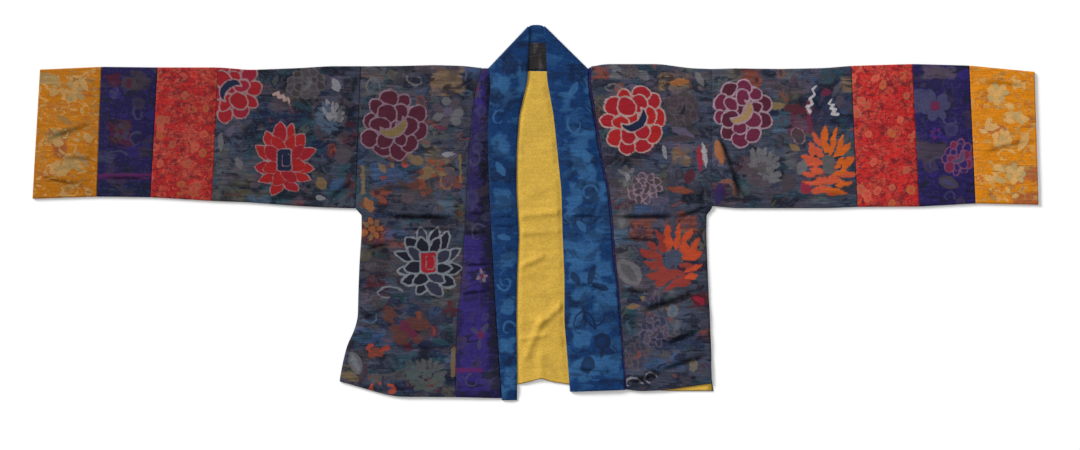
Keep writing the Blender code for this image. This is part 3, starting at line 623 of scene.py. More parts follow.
class Drawing:
    """The figures woven into a piece: how far inside a figure its points are, and how far off a line."""

    def __init__(self, x, y, ground):
        self.flat_x, self.flat_y = x, y
        self.waver(0.0011)
        self.ground = np.tile(np.array(ground, float), (len(x), 1))
        self.fill = np.tile(np.array(ground, float), (len(x), 1))
        self.line = np.tile(np.array(ground, float), (len(x), 1))
        self.inside = np.full(len(x), -0.05)
        self.off_line = np.full(len(x), 0.05)

    def waver(self, ragged):
        """Sets how ragged the edges of the next shapes are."""
        x, y = self.flat_x, self.flat_y
        self.x = x + 0.0011 * field(x, y, 0.013, 0.013, 21) + ragged * field(x, y, 0.0080, 0.0038, 24)
        self.y = y + 0.0011 * field(x, y, 0.013, 0.013, 22) + ragged * field(x, y, 0.0080, 0.0038, 25)

    def add(self, inside, fill, outline=None, half_width=0.0):
        """Lays a shape over what is drawn, with an outline of its own where it has one."""
        nearer = inside > self.inside
        within = inside > 0
        self.fill[nearer | within] = fill
        self.inside = np.maximum(self.inside, inside)
        if outline is None:
            self.off_line = np.where(within, np.maximum(self.off_line, inside), self.off_line)
            return
        fresh = np.abs(inside) - half_width
        paint = within | (fresh < self.off_line)
        self.line[paint] = outline
        self.off_line = np.where(within, fresh, np.minimum(self.off_line, fresh))

    def local(self, x, y, turn):
        """Points as seen from a place, turned so that its own y axis points that way."""
        away_x, away_y = self.x - x, self.y - y
        c, s = math.cos(turn), math.sin(turn)
        return away_x * c + away_y * s, away_y * c - away_x * s

    def oval(self, x, y, across, along, turn):
        """How far inside an oval the points are."""
        u, v = self.local(x, y, turn)
        reach = np.hypot(u / across, v / along) + 1e-9
        slope = np.hypot(u / across**2, v / along**2) + 1e-9
        return (1 - reach) * np.minimum(reach / slope, max(across, along))

    def petal(self, x, y, across, along, turn):
        """How far inside a petal, pointed at both ends, the points are."""
        u, v = self.local(x, y, turn)
        radius = (across**2 + along**2) / (2 * across)
        return radius - np.hypot(np.abs(u) + radius - across, v)

    def block(self, x, y, across, along, turn, corner):
        """How far inside a block with round corners the points are."""
        u, v = self.local(x, y, turn)
        beyond_u, beyond_v = np.abs(u) - across + corner, np.abs(v) - along + corner
        outside = np.hypot(np.maximum(beyond_u, 0), np.maximum(beyond_v, 0))
        return corner - outside - np.minimum(np.maximum(beyond_u, beyond_v), 0)

    def trail(self, points, half_width):
        """How far inside a line of round ends through some points, thinner to its end, the points are."""
        best = np.full(len(self.x), -1.0)
        last = len(points) - 1
        for index, ((ax, ay), (bx, by)) in enumerate(zip(points, points[1:])):
            run_x, run_y = bx - ax, by - ay
            share = ((self.x - ax) * run_x + (self.y - ay) * run_y) / (run_x**2 + run_y**2)
            share = np.clip(share, 0, 1)
            away = np.hypot(self.x - ax - share * run_x, self.y - ay - share * run_y)
            width = half_width * (1 - 0.5 * (index + share) / last)
            best = np.maximum(best, width - away)
        return best


class Figure(
    namedtuple("Figure", "kind x y across along turn fill second outline heart", defaults=("",) * 3)
):
    """A figure of the weave, in metres and degrees, with the names of its dyes."""

    def dyes(self):
        """Its main and second colour, outline and heart, each None where it has none."""
        return [DYES.get(name) for name in self[6:]]

    def middle(self, shape, across, along, turn, *corner):
        """A shape in the middle of the figure, whose half sizes are shares of the figure's."""
        return shape(self.x, self.y, self.across * across, self.along * along, turn, *corner)


# How much of its outward lean a lotus's petal keeps: the rest of it points up.
UPWARDS = 0.80
# How ragged the edges of the main figures are.
MAIN_RAGGED = 0.0014


def ring(figure, count, reach, shift, draw):
    """(x, y, turn) of petals round a figure, a little uneven, as the weaver sets them."""
    tilt = math.radians(figure.turn)
    places = []
    for index in range(count):
        angle = 2 * math.pi * (index + shift + draw.uniform(-0.13, 0.13)) / count
        u = figure.across * reach * math.cos(angle) * draw.uniform(0.93, 1.06)
        v = figure.along * reach * math.sin(angle) * draw.uniform(0.93, 1.06)
        x = figure.x + u * math.cos(tilt) - v * math.sin(tilt)
        y = figure.y + u * math.sin(tilt) + v * math.cos(tilt)
        outwards = math.atan2(y - figure.y, x - figure.x) - math.pi / 2
        places.append((x, y, (outwards + math.pi) % (2 * math.pi) - math.pi))
    return places


# A flower's rings of petals: how many, how far out, and how wide and long, as shares of the flower.
RINGS = {
    "peony": ((10, 0.74, 0.24, 0.25), (6, 0.42, 0.23, 0.27)),
    "lotus": ((12, 0.68, 0.19, 0.32), (8, 0.44, 0.19, 0.29)),
    "strokes": ((15, 0.74, 0.11, 0.25), (11, 0.46, 0.11, 0.20)),
}


def petals(flower, figure, shift, draw):
    """(how far out, how wide, how long, number, x, y, turn) of each of a flower's petals."""
    for count, reach, wide, tall in RINGS[flower]:
        for index, place in enumerate(ring(figure, count, reach, shift, draw)):
            yield reach, wide, tall, index, *place


def peony(drawing, figure, draw):
    """A round flower of lobed petals, outlined, about a crescent heart."""
    fill, second, line, heart = figure.dyes()
    size = (figure.across + figure.along) / 2
    width = min(0.0013, size * 0.04)
    tilt = math.radians(figure.turn)
    drawing.add(figure.middle(drawing.oval, 0.70, 0.70, tilt), second, line, width)
    for _, wide, tall, index, x, y, turn in petals("peony", figure, 0.3, draw):
        swell, stretch = draw.uniform(0.76, 1.24, 2)
        petal = drawing.oval(x, y, size * wide * swell, size * tall * stretch, turn + swell - 1)
        drawing.add(petal, fill if index % 3 else second, line, width)
    lean = tilt - 0.75
    bow = drawing.oval(figure.x, figure.y, size * 0.31, size * 0.40, lean)
    bite_x = figure.x - size * 0.22 * math.cos(lean)
    bite_y = figure.y - size * 0.22 * math.sin(lean)
    bite = drawing.oval(bite_x, bite_y, size * 0.27, size * 0.37, lean)
    drawing.add(np.minimum(bow, -bite), heart, line, width)


def lotus(drawing, figure, draw):
    """A flower of pointed petals, outlined, about a square heart."""
    fill, second, line, heart = figure.dyes()
    full = figure.fill == "scarlet"
    width = 0.0010 if full else 0.0015
    tilt = math.radians(figure.turn)
    drawing.add(figure.middle(drawing.oval, 0.62, 0.60, tilt), fill, line, width)
    slim = 1.1 if full else 0.86
    for reach, wide, tall, index, x, y, turn in petals("lotus", figure, 0.5, draw):
        across = figure.across * wide * slim * draw.uniform(0.85, 1.2)
        along = figure.along * tall * draw.uniform(0.85, 1.12)
        petal = drawing.petal(x, y, across, along, turn * UPWARDS + draw.uniform(-0.2, 0.2))
        edge = width if reach > 0.5 or not full else 0.0006
        drawing.add(petal, fill if index % 3 else second, line, edge)
    across, along = figure.across * 0.25, figure.along * 0.29
    drawing.add(drawing.block(figure.x, figure.y, across, along, tilt, 0.005), heart, line, width)
    seed = drawing.block(figure.x + across * 0.2, figure.y, across * 0.5, along * 0.6, tilt, 0.003)
    drawing.add(seed, heart, line, width * 0.5)


def strokes(drawing, figure, draw):
    """A lotus of separate strokes about a plain heart."""
    fill, second, _, heart = figure.dyes()
    drawing.waver(0.0026)
    for _, wide, tall, _, x, y, turn in petals("strokes", figure, 0.2, draw):
        across = figure.across * wide * draw.uniform(0.75, 1.35)
        along = figure.along * tall * draw.uniform(0.8, 1.25)
        petal = drawing.petal(x, y, across, along, turn * 0.66 + draw.uniform(-0.3, 0.3))
        upper = (x - figure.x) / figure.across + (y - figure.y) / figure.along > draw.uniform(-0.6, 0.6)
        drawing.add(petal, second if upper else fill)
    drawing.add(figure.middle(drawing.block, 0.22, 0.24, 0, 0.006), heart)
    drawing.waver(MAIN_RAGGED)


def bloom(drawing, figure, draw):
    """A small soft flower of round petals."""
    fill, second, line, heart = figure.dyes()
    for index, (x, y, turn) in enumerate(ring(figure, 7, 0.62, 0.0, draw)):
        across = figure.across * 0.26 * draw.uniform(0.8, 1.2)
        petal = drawing.oval(x, y, across, figure.along * 0.33 * draw.uniform(0.8, 1.2), turn)
        drawing.add(petal, fill if index % 2 else second, line, 0.0008)
    if heart:
        drawing.add(figure.middle(drawing.oval, 0.30, 0.30, 0), heart, line, 0.0008)


def leaf(drawing, figure, draw):
    """A leaf, with the second colour down its middle."""
    fill, second, line, _ = figure.dyes()
    turn = math.radians(figure.turn)
    drawing.add(figure.middle(drawing.petal, 1, 1, turn), fill, line, 0.0010)
    if second:
        drawing.add(figure.middle(drawing.petal, 0.45, 0.8, turn), second)


def rosette(drawing, figure, draw):
    """A small full flower."""
    fill = np.array(DYES[figure.fill])
    drawing.add(figure.middle(drawing.oval, 1, 1, math.radians(figure.turn)), fill)
    drawing.add(figure.middle(drawing.oval, 0.45, 0.45, 0), mix(fill, drawing.ground[0], 0.5))


def spray(drawing, figure, draw):
    """Loose dabs, as of a twig in flower."""
    fill, second, *_ = figure.dyes()
    for index in range(10):
        x = figure.x + figure.across * draw.uniform(-0.9, 0.9)
        y = figure.y + figure.along * draw.uniform(-0.9, 0.9)
        size = min(figure.across, figure.along) * draw.uniform(0.24, 0.50)
        dab = drawing.petal(x, y, size * 0.7, size * 1.4, draw.uniform(0.6, 2.2))
        drawing.add(dab, fill if index % 2 or not second else second)


def curl_line(drawing, figure, draw):
    """A curling stem."""
    start = math.radians(figure.turn)
    points = []
    for step in range(12):
        angle = start + step * 0.42
        shrink = 1 - 0.055 * step
        x = figure.x + figure.across * shrink * math.cos(angle)
        points.append((x, figure.y + figure.along * shrink * math.sin(angle)))
    drawing.add(drawing.trail(points, 0.0019), DYES[figure.fill])


def squiggle(drawing, figure, draw):
    """A short wavering stem."""
    turn = math.radians(figure.turn)
    points = []
    for step in range(7):
        u = figure.across * mix(-1, 1, step / 6)
        v = figure.along * (0.6 if step % 2 else -0.6)
        x = figure.x + u * math.cos(turn) - v * math.sin(turn)
        points.append((x, figure.y + u * math.sin(turn) + v * math.cos(turn)))
    drawing.add(drawing.trail(points, 0.0026), DYES[figure.fill])


def stalk(drawing, figure, draw):
    """A straight stem."""
    rod = figure.middle(drawing.block, 1, 1, math.radians(figure.turn), figure.across)
    drawing.add(rod, DYES[figure.fill])


def bar(drawing, figure, draw):
    """A band straight across the cloth."""
    drawing.add(figure.middle(drawing.block, 1, 1, 0, 0.0005), DYES[figure.fill])


def patch(drawing, figure, draw):
    """A place where the ground itself changes colour, or is darkened as painted shade, with square ends
    along the weft.
    """
    inside = figure.middle(drawing.block, 1, 1, math.radians(figure.turn), 0.004)
    inside = inside + 0.008 * field(drawing.x, drawing.y, 0.016, 0.007, 23)
    share = smooth(inside / 0.006 + 0.5)[:, None] * 0.75
    drawing.ground = mix(drawing.ground, np.array(DYES[figure.fill]), share)


# How each kind of figure is drawn, and the kinds that lie on top in full colour.
KINDS = {
    "peony": peony, "lotus": lotus, "strokes": strokes, "bloom": bloom, "rosette": rosette,
    "rose": peony, "aster": strokes, "leaf": leaf, "spray": spray, "curl": curl_line,
    "squiggle": squiggle, "stalk": stalk, "bar": bar, "patch": patch,
}
MAIN_KINDS = ("peony", "lotus", "strokes", "squiggle")


def placed_by_hand(nodes):
    """The patches and the figures of some solids' cloth, in metres."""
    patches, figures = [], []
    for node in nodes:
        for *sizes, dye in PATCHES.get(node, ()):
            patches.append(Figure("patch", *(size / 1000 for size in sizes), 0, dye))
        for kind, *sizes, turn, dyes in FIGURES.get(node, ()):
            names = dyes.replace("-", "").split(" ")
            figures.append(Figure(kind, *(size / 1000 for size in sizes), turn, *names))
    return patches, figures


def draw_figures(x, y, ground, spread, nodes):
    """A piece's drawing: small figures strewn over it, and on them the listed ones."""
    drawing = Drawing(x, y, ground)
    draw = np.random.default_rng(sum(map(ord, nodes[0])))
    low_x, high_x, low_y, high_y = x.min(), x.max(), y.min(), y.max()
    strewn = []
    for _ in range(round(spread.blocks * (high_x - low_x) * (high_y - low_y))):
        place = draw.uniform(low_x, high_x), draw.uniform(low_y, high_y)
        size = draw.uniform(0.010, 0.030), draw.uniform(0.006, 0.018)
        fill = spread.dyes[draw.integers(len(spread.dyes))]
        strewn.append(Figure("patch", *place, *size, 0, fill))
    for _ in range(round(spread.density * (high_x - low_x) * (high_y - low_y))):
        kind = spread.kinds[draw.integers(len(spread.kinds))]
        fill, second = (spread.dyes[draw.integers(len(spread.dyes))] for _ in range(2))
        across, along = draw.uniform(spread.low, spread.high, 2)
        slim = 0.5 if kind == "leaf" else 1.0
        place = draw.uniform(low_x, high_x), draw.uniform(low_y, high_y)
        turn = draw.uniform(0, 360)
        outline = second if kind == "rose" else ""
        strewn.append(Figure(kind, *place, across * slim, along, turn, fill, second, outline, fill))
    patches, placed = placed_by_hand(nodes)
    main = [figure for figure in placed if figure.kind in MAIN_KINDS]
    quiet = [figure for figure in placed if figure.kind not in MAIN_KINDS]
    passes = [(strewn + patches, 0.60, spread.ragged)]
    passes += [(quiet, 0.80, spread.ragged * 0.6), (main, 1.0, MAIN_RAGGED)]
    for figures, strength, ragged in passes:
        drawing.waver(ragged)
        for figure in figures:
            KINDS[figure.kind](drawing, figure, draw)
        drawing.fill = mix(drawing.ground, drawing.fill, strength)
    return drawing


def read_points(data):
    points = np.empty(len(data.vertices) * 3)
    data.vertices.foreach_get("co", points)
    return points.reshape(-1, 3)


def write_colour(data, name, colour):
    layer = data.attributes.new(name=name, type="FLOAT_COLOR", domain="POINT")
    layer.data.foreach_set("color", np.column_stack([colour, np.ones(len(colour))]).ravel())


def write_number(data, name, values):
    layer = data.attributes.new(name=name, type="FLOAT", domain="POINT")
    layer.data.foreach_set("value", values)


# How each cloth was cut: its record slot, what it lies on, and its flat width and length.
Cut = namedtuple("Cut", "slot rests_on width length")
CUTS = {
    "back": Cut("brocade", ["floor"], 0.62, 0.54),
    "back_lining": Cut("lining_silk", ["back_silk"], 0.62, 0.54),
    "front_right": Cut("brocade", ["back_lining_silk"], 0.245, 0.545),
    "front_left": Cut("brocade", ["back_lining_silk"], 0.245, 0.545),
    "front_strip_right": Cut("purple_brocade", ["back_lining_silk"], 0.095, 0.54),
    "front_strip_left": Cut("purple_brocade", ["back_lining_silk"], 0.010, 0.54),
    "collar": Cut("collar_damask", ["back_lining_silk", "collar_facing_silk"], 0.100, 1.32),
    "collar_facing": Cut("neck_facing", ["collar_silk"], 0.15, 0.045),
}


def silk(name):
    """The material of a silk, made once."""
    return bpy.data.materials.get("woven_" + name) or woven(name)


def cloth(node, name, columns, rows, place, wall, cut=None):
    """A piece of a silk that stands for a solid: a grid set in place, its drawing, and then its wall.

    Only a tube comes with a cut of its own: its last column meets its first, and the two are joined.
    """
    net = bmesh.new()
    bmesh.ops.create_grid(net, x_segments=columns, y_segments=rows, size=0.5)
    data = bpy.data.meshes.new(node + "_silk")
    net.to_mesh(data)
    flat = read_points(data)
    column, row = np.round((flat[:, 0] + 0.5) * columns), np.round((0.5 - flat[:, 1]) * rows)
    data.vertices.foreach_set("co", np.column_stack(place(column, row)).ravel())
    if cut:
        net.free()
        net = bmesh.new()
        net.from_mesh(data)
        bmesh.ops.remove_doubles(net, verts=net.verts, dist=1e-6)
        bmesh.ops.recalc_face_normals(net, faces=net.faces)
        net.to_mesh(data)
    net.free()
    data.update()
    points = read_points(data)
    ground = getattr(bpy.context.scene.robe_colours, name)
    # The back repeats the figures of both fronts.
    nodes = ("front_right", "front_left") if node == "back" else (node,)
    drawing = draw_figures(points[:, 0], points[:, 1], ground, SCATTERS.get(name, PLAIN), nodes)
    # Painted light and shade: lighter towards the wearer's left arm, darker towards the right, and darker
    # at the bottoms of the creases.
    painted_light_and_shade = 1 + PAINTED_SIDE_LIGHT * points[:, :1] / ARMS["left"][-1].lower_x
    if not node.startswith("back"):
        # Painted shade at the bottoms of the creases, on every piece but the back and its lining.
        painted_light_and_shade = painted_light_and_shade * (1 - CREASE_SHADE_DARKNESS * painted_crease_shade(points[:, :1], points[:, 1:2]))
    for layer, colours in (("ground", drawing.ground), ("figure", drawing.fill), ("line", drawing.line)):
        write_colour(data, layer, colours * painted_light_and_shade)
    write_number(data, "inside", drawing.inside)
    write_number(data, "off_line", drawing.off_line)
    data.shade_smooth()
    piece = bpy.data.objects.new(node + "_silk", data)
    bpy.context.scene.collection.objects.link(piece)
    data.materials.append(silk(name))
    solidify = piece.modifiers.new("wall", "SOLIDIFY")
    solidify.thickness = wall
    solidify.offset = 0
    cut = cut or CUTS[node]
    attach(piece, "root")
    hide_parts(node)


def front(side):
    """A front, from its side seam to its strip. It turns down along the side seam and the shoulder."""
    sign = SIGN[side]
    columns, rows = 96, 250

    def place(column, row):
        inside = np.interp(column, range(TURNED + 1), CURL_STEPS)
        from_top = np.interp(row, range(TURNED + 1), CURL_STEPS)
        share = np.maximum(column - TURNED, 0) / (columns - TURNED)
        fall = np.maximum(row - TURNED, 0) / (rows - TURNED)
        x = mix(getattr(SIDES[0], side), getattr(SEAMS[0], side + "_strip"), share)
        # At the shoulder and the hem x and y depend on each other, and a few rounds settle both.
        for _ in range(SETTLING_ROUNDS):
            top = reading(SHOULDERS, "y", x) - CLOTH_WALL / 2
            bottom = reading(FRONT_HEM, "y", x)
            y = mix(top - from_top, bottom, fall)
            side_turn = side_reading(side + "_curl", y)
            edge = side_reading(side, y) - sign * (SEAM_GAP + side_turn * CLOTH_WALL) / 2
            seam = reading(SEAMS, side + "_strip", y) + sign * SEAM_GAP / 2
            x = mix(edge - sign * inside, seam, share)
        turn_down = np.maximum(side_turn * curl(inside), curl(top - y))
        near = np.minimum(np.abs(x - edge), np.abs(x - seam))
        near = np.minimum(near, np.minimum(top - y, y - bottom))
        return x, y, top_height(x, y, near, turn_down, CLOTH_WALL)

    cloth("front_" + side, "brocade", columns, rows, place, CLOTH_WALL)


def hem_at(seam):
    """The height of the fronts' hem at one of their seams."""
    return float(reading(FRONT_HEM, "y", getattr(SEAMS[-1], seam)))


def strip(side):
    """The strip between a front and the collar."""
    sign = SIGN[side]
    columns, rows = (26 if side == "right" else 4), 250
    shoulder = reading(SHOULDERS, "y", getattr(SEAMS[0], side + "_strip")) - CLOTH_WALL / 2
    hem_outer, hem_inner = hem_at(side + "_strip"), hem_at(side + "_collar")

    def place(column, row):
        share, fall = column / columns, row / rows
        outer_y = mix(shoulder, hem_outer, fall)
        inner_y = mix(STRIP_TOP, hem_inner, fall)
        outer_x = reading(SEAMS, side + "_strip", outer_y) - sign * SEAM_GAP / 2
        inner_x = reading(SEAMS, side + "_collar", inner_y) + sign * SEAM_GAP / 2
        x, y = mix(outer_x, inner_x, share), mix(outer_y, inner_y, share)
        near = np.minimum(np.abs(x - outer_x), np.abs(x - inner_x))
        near = np.minimum(near, y - mix(hem_outer, hem_inner, share))
        height = top_height(x, y, near, 0, CLOTH_WALL)
        tucked = STRIP_TUCK * np.exp(-((np.abs(x - inner_x) / STRIP_TUCK_REACH) ** 2))
        return x, y, np.maximum(height - tucked, CLOTH_WALL / 2)

    cloth("front_strip_" + side, "purple", columns, rows, place, CLOTH_WALL)


def collar_leg(side, rows):
    """Free and seam edges of a leg of the collar, from the neck down to the hem, and its rise."""
    top, end = COLLAR_LEG_TOP[side], COLLAR_ENDS[side]
    fall = np.arange(rows + 1) / rows
    seam_y = mix(top, end.seam_y, fall)
    slant = reading(SEAMS, "skew", seam_y) + (end.free_y - end.seam_y) * smooth((fall - 0.9) / 0.1)
    free_y = seam_y + slant
    seam_x = reading(SEAMS, side + "_collar", seam_y) - SIGN[side] * SEAM_GAP / 2
    free_x = reading(FREE_EDGES, side, free_y)
    raised = smooth((seam_y - COLLAR_RAISED_ABOVE) / (top - COLLAR_RAISED_ABOVE))
    raised = raised * (COLLAR_HIGH_Z - FRONT_BOTTOM - COLLAR_WALL / 2)
    loose = smooth((top - seam_y) / 0.04)
    return np.column_stack([free_x, free_y, seam_x, seam_y, raised, loose, np.zeros_like(fall)])


def collar_fold(side, steps):
    """Free and seam edges round a fold of the collar, from the leg on top to the stretch behind."""
    line = COLLAR_FOLDS[side]
    run = np.array([line.seam_x - line.free_x, line.seam_y - line.free_y])
    outwards = np.array([-run[1], run[0]]) * SIGN[side] / np.hypot(*run)
    angle = np.pi * np.arange(steps + 1) / steps
    radius = (COLLAR_HIGH_Z - COLLAR_LOW_Z) / 2
    move = radius * np.sin(angle)
    height = (COLLAR_HIGH_Z + COLLAR_LOW_Z) / 2 + radius * np.cos(angle)
    none = np.zeros(steps + 1)
    edges = [line.free_x + outwards[0] * move, line.free_y + outwards[1] * move]
    edges += [line.seam_x + outwards[0] * move, line.seam_y + outwards[1] * move]
    return np.column_stack(edges + [none, none, height])


def collar():
    """The collar: up the right leg, round its fold, behind the neck, round the left fold and down."""
    right, left = COLLAR_FOLDS["right"], COLLAR_FOLDS["left"]
    leg_rows, fold_steps, behind_rows = 240, 8, 16
    share = (np.arange(behind_rows) + 1) / (behind_rows + 1)
    knots = (np.arange(len(COLLAR_TOP)) + 1) / (len(COLLAR_TOP) + 1)
    top_x = np.interp(share, knots, [point.x for point in COLLAR_TOP])
    top_y = np.interp(share, knots, [point.y for point in COLLAR_TOP])
    seam_x, seam_y = mix(right.seam_x, left.seam_x, share), mix(right.seam_y, left.seam_y, share)
    none = np.zeros(behind_rows)
    behind = np.column_stack([top_x, top_y, seam_x, seam_y, none, none, none + COLLAR_LOW_Z])
    parts = [collar_leg("right", leg_rows)[::-1], collar_fold("right", fold_steps), behind]
    parts += [collar_fold("left", fold_steps)[::-1], collar_leg("left", leg_rows)]
    bands = np.vstack(parts)
    columns = 38

    def place(column, row):
        free_x, free_y, seam_x, seam_y, raised, loose, folded = bands[row.astype(int)].T
        share = column / columns
        x, y = mix(free_x, seam_x, share), mix(free_y, seam_y, share)
        width = np.hypot(seam_x - free_x, seam_y - free_y)
        near = np.minimum(share, 1 - share) * width
        near = np.minimum(near, np.abs(y - COLLAR_HEM) + SEAM_CALM) * loose
        height = top_height(x, y, near, 0, COLLAR_WALL) + raised
        crown = CROWN_DROP * np.exp(-((share * width / CROWN_REACH) ** 2)) * loose
        return x, y, np.where(folded > 0, folded, np.maximum(height - crown, COLLAR_WALL / 2))

    cloth("collar", "collar", columns, len(bands) - 1, place, COLLAR_WALL)


def collar_facing():
    """The facing on the stretch of the collar behind the neck."""
    top, bottom = FACING
    columns, rows = 50, 22

    def place(column, row):
        share = row / rows
        right, left = mix(top.right, bottom.right, share), mix(top.left, bottom.left, share)
        x, y = mix(right, left, column / columns), mix(top.y, bottom.y, share)
        return x, y, np.full_like(x, FACING_Z)

    cloth("collar_facing", "facing", columns, rows, place, LINING_WALL)


def back_top(x, tuck):
    """The top edge of the back: inside the shoulders, and below the collar's seam at the neck."""
    right, left = COLLAR_FOLDS["right"], COLLAR_FOLDS["left"]
    shoulder = reading(SHOULDERS, "y", x) - tuck
    share = np.clip((x - right.seam_x) / (left.seam_x - right.seam_x), 0, 1)
    neck = np.minimum(shoulder, mix(right.seam_y, left.seam_y, share) - NECK_GAP)
    return np.where((x > right.seam_x - NECK_MARGIN) & (x < left.seam_x + NECK_MARGIN), neck, shoulder)


def back_layer(node, name, height, wall, extra_tuck, hem_rise):
    """The back or its lining: a flat sheet inside the outline of the fronts, wrinkled where it shows."""
    lining = node == "back_lining"
    columns, rows = (150, 215) if lining else (140, 130)

    def place(column, row):
        across, fall = column / columns, row / rows
        if lining:
            # Most columns lie in the opening, where the lining shows.
            across = np.interp(across, (0, 0.13, 0.87, 1), (0, 0.42, 0.66, 1))
        x = np.zeros_like(column)
        for _ in range(SETTLING_ROUNDS):
            top = back_top(x, SHOULDER_TUCK + extra_tuck)
            bottom = reading(BACK_HEM, "y", x, ease=0.0015) + hem_rise
            y = mix(top, bottom, fall)
            right = side_reading("right", y) + side_reading("right_tuck", y) + extra_tuck
            left = side_reading("left", y) - side_reading("left_tuck", y) - extra_tuck
            x = mix(right, left, across)
        if not lining:
            return x, y, np.full_like(x, height)
        room = np.minimum(x - reading(FREE_EDGES, "right", y), reading(FREE_EDGES, "left", y) - x)
        shown = smooth((room - 0.0005) / 0.009) * smooth((0.226 - y) / 0.02)
        lift = LINING_DEPTH * ridges(x, y, LINING_FOLDS)
        lift += LINING_SWELL.height * smooth(0.5 + 0.9 * field(x, y, *LINING_SWELL[1:]))
        for wrinkle in LINING_WRINKLES:
            lift += wrinkle.height * (1 + field(x, y, *wrinkle[1:]))
        return x, y, height + lift * shown

    cloth(node, name, columns, rows, place, wall)


def arm_rows(side, sections):
    """A reader of an arm's outline at a distance along it, with its bends eased but not its ends."""
    whole = ARMS[side]
    knots = [(abs(section.upper_x) + abs(section.lower_x)) / 2 for section in whole]
    first, last = (knots[whole.index(section)] for section in (sections[0], sections[-1]))

    def outline(share):
        at = mix(first, last, share)
        found = []
        for name in ("upper_x", "upper_y", "lower_x", "lower_y"):
            values = [getattr(section, name) for section in whole]
            steps = (0,) if name.endswith("x") else (-EASE, -EASE / 2, 0, EASE / 2, EASE)
            found.append(sum(np.interp(at + step, knots, values) for step in steps) / len(steps))
        return found, np.minimum(at - first, last - at)

    return outline


# The pieces of an arm, from the armhole out: how many rows, their silk and its record slot.
ArmCloth = namedtuple("ArmCloth", "rows silk slot")
ARM_CLOTHS = {
    "sleeve": ArmCloth(112, "brocade", "brocade"),
    "red_band": ArmCloth(50, "red", "red_brocade"),
    "purple_band": ArmCloth(46, "purple", "purple_brocade"),
    "cuff": ArmCloth(50, "gold", "gold_brocade"),
}
# An arm's cloth, as cut: its width all round, the least length that shows, and what is turned in.
ARM_GIRTH = 0.47
LEAST_ARM_LENGTH = 0.09
ARM_TURNING = 0.012


def arm_piece(kind, side, sections):
    """A flattened tube between an arm's sections. It stops short of each seam by half a gap."""
    rows, name, slot = ARM_CLOTHS[kind]
    under, turning, upper = 36, 6, 100
    turn = (FRONT_Z - UNDER_Z) / 2
    outline = arm_rows(side, sections)
    angles = np.pi * np.arange(1, turning) / turning
    flat = np.arange(under + 1) / under, np.arange(upper + 1) / upper
    share = np.concatenate([flat[0], np.ones(turning - 1), 1 - flat[1], np.zeros(turning - 1), [0]])
    push = [np.zeros(under + 1), np.sin(angles), np.zeros(upper + 1), -np.sin(angles), [0]]
    lift = [np.zeros(under + 1), 1 - np.cos(angles), np.full(upper + 1, 2.0), 1 + np.cos(angles), [0]]
    push, lift = np.concatenate(push) * turn, np.concatenate(lift) * turn
    columns = len(share) - 1

    def place(column, row):
        at = column.astype(int)
        (upper_x, upper_y, lower_x, lower_y), near = outline(row / rows)
        low, high = lower_y + CLOTH_WALL / 2, upper_y - CLOTH_WALL / 2
        y = mix(low + turn, high - turn, share[at]) + push[at]
        x = mix(lower_x, upper_x, (y - lower_y) / (upper_y - lower_y))
        ends = 1 - 2 * row / rows if kind != "cuff" else 1 - row / rows
        x = x + SIGN[side] * SEAM_GAP / 2 * ends
        edge = np.minimum(y - low, high - y)
        if kind == "cuff":
            near = np.where(row > rows / 2, np.maximum(near, SEAM_CALM), near)
        lifted = relief(x, y, np.minimum(near, edge + SEAM_CALM)) * smooth(edge / EDGE_FADE)
        sunk = np.minimum(lifted, 0) * 0.6
        on_top = lift[at] > 1.99 * turn
        return x, y, UNDER_Z + lift[at] + np.where(on_top, np.maximum(lifted, sunk), 0)

    length = abs(sections[-1].lower_x - sections[0].lower_x)
    cut = Cut(slot, ["floor"], ARM_GIRTH, round(max(length, LEAST_ARM_LENGTH) + ARM_TURNING, 4))
    cloth(kind + "_" + side, name, columns, rows, place, CLOTH_WALL, cut)


class Finish:
    """A material under way: it adds nodes and links them."""

    def __init__(self, name):
        self.material = bpy.data.materials.new(name)
        self.material.use_nodes = True
        self.tree = self.material.node_tree
        self.shader = self.tree.nodes["Principled BSDF"]

    def add(self, kind, values, **settings):
        node = self.tree.nodes.new("ShaderNode" + kind)
        for name, setting in settings.items():
            setattr(node, name, setting)
        self.fill(node, values)
        return node

    def fill(self, node, values):
        for socket, value in values.items():
            if isinstance(value, bpy.types.NodeSocket):
                self.tree.links.new(value, node.inputs[socket])
            else:
                node.inputs[socket].default_value = value

    def attribute(self, name, output="Color"):
        return self.add("Attribute", {}, attribute_name=name).outputs[output]

    def math(self, operation, first, second=0.0, third=0.0):
        values = {0: first, 1: second, 2: third}
        if operation != "MULTIPLY_ADD":
            values.pop(2)
        return self.add("Math", values, operation=operation).outputs[0]

    def noise(self, scale, detail=2.0, roughness=0.5, distortion=0.0):
        """Noise on object coordinates, whose scale along each axis is in swells to a metre."""
        place = self.add("TexCoord", {}).outputs["Object"]
        vector = self.add("Mapping", {"Vector": place, "Scale": scale}).outputs[0]
        values = {"Vector": vector, "Scale": 1.0, "Detail": detail, "Roughness": roughness}
        values["Distortion"] = distortion
        return self.add("TexNoise", values).outputs[0]

    def ease(self, value, low, high, start=0.0, end=1.0):
        values = {"Value": value, "From Min": low, "From Max": high, "To Min": start, "To Max": end}
        return self.add("MapRange", values, interpolation_type="SMOOTHSTEP").outputs[0]

    def blend(self, share, first, second):
        return self.add("Mix", {0: share, 6: first, 7: second}, data_type="RGBA").outputs[2]

    def level(self, share, first, second):
        return self.add("Mix", {0: share, 2: first, 3: second}, data_type="FLOAT").outputs[0]

    def tint(self, colour, amount):
        return self.add("VectorMath", {0: colour, "Scale": amount}, operation="SCALE").outputs[0]


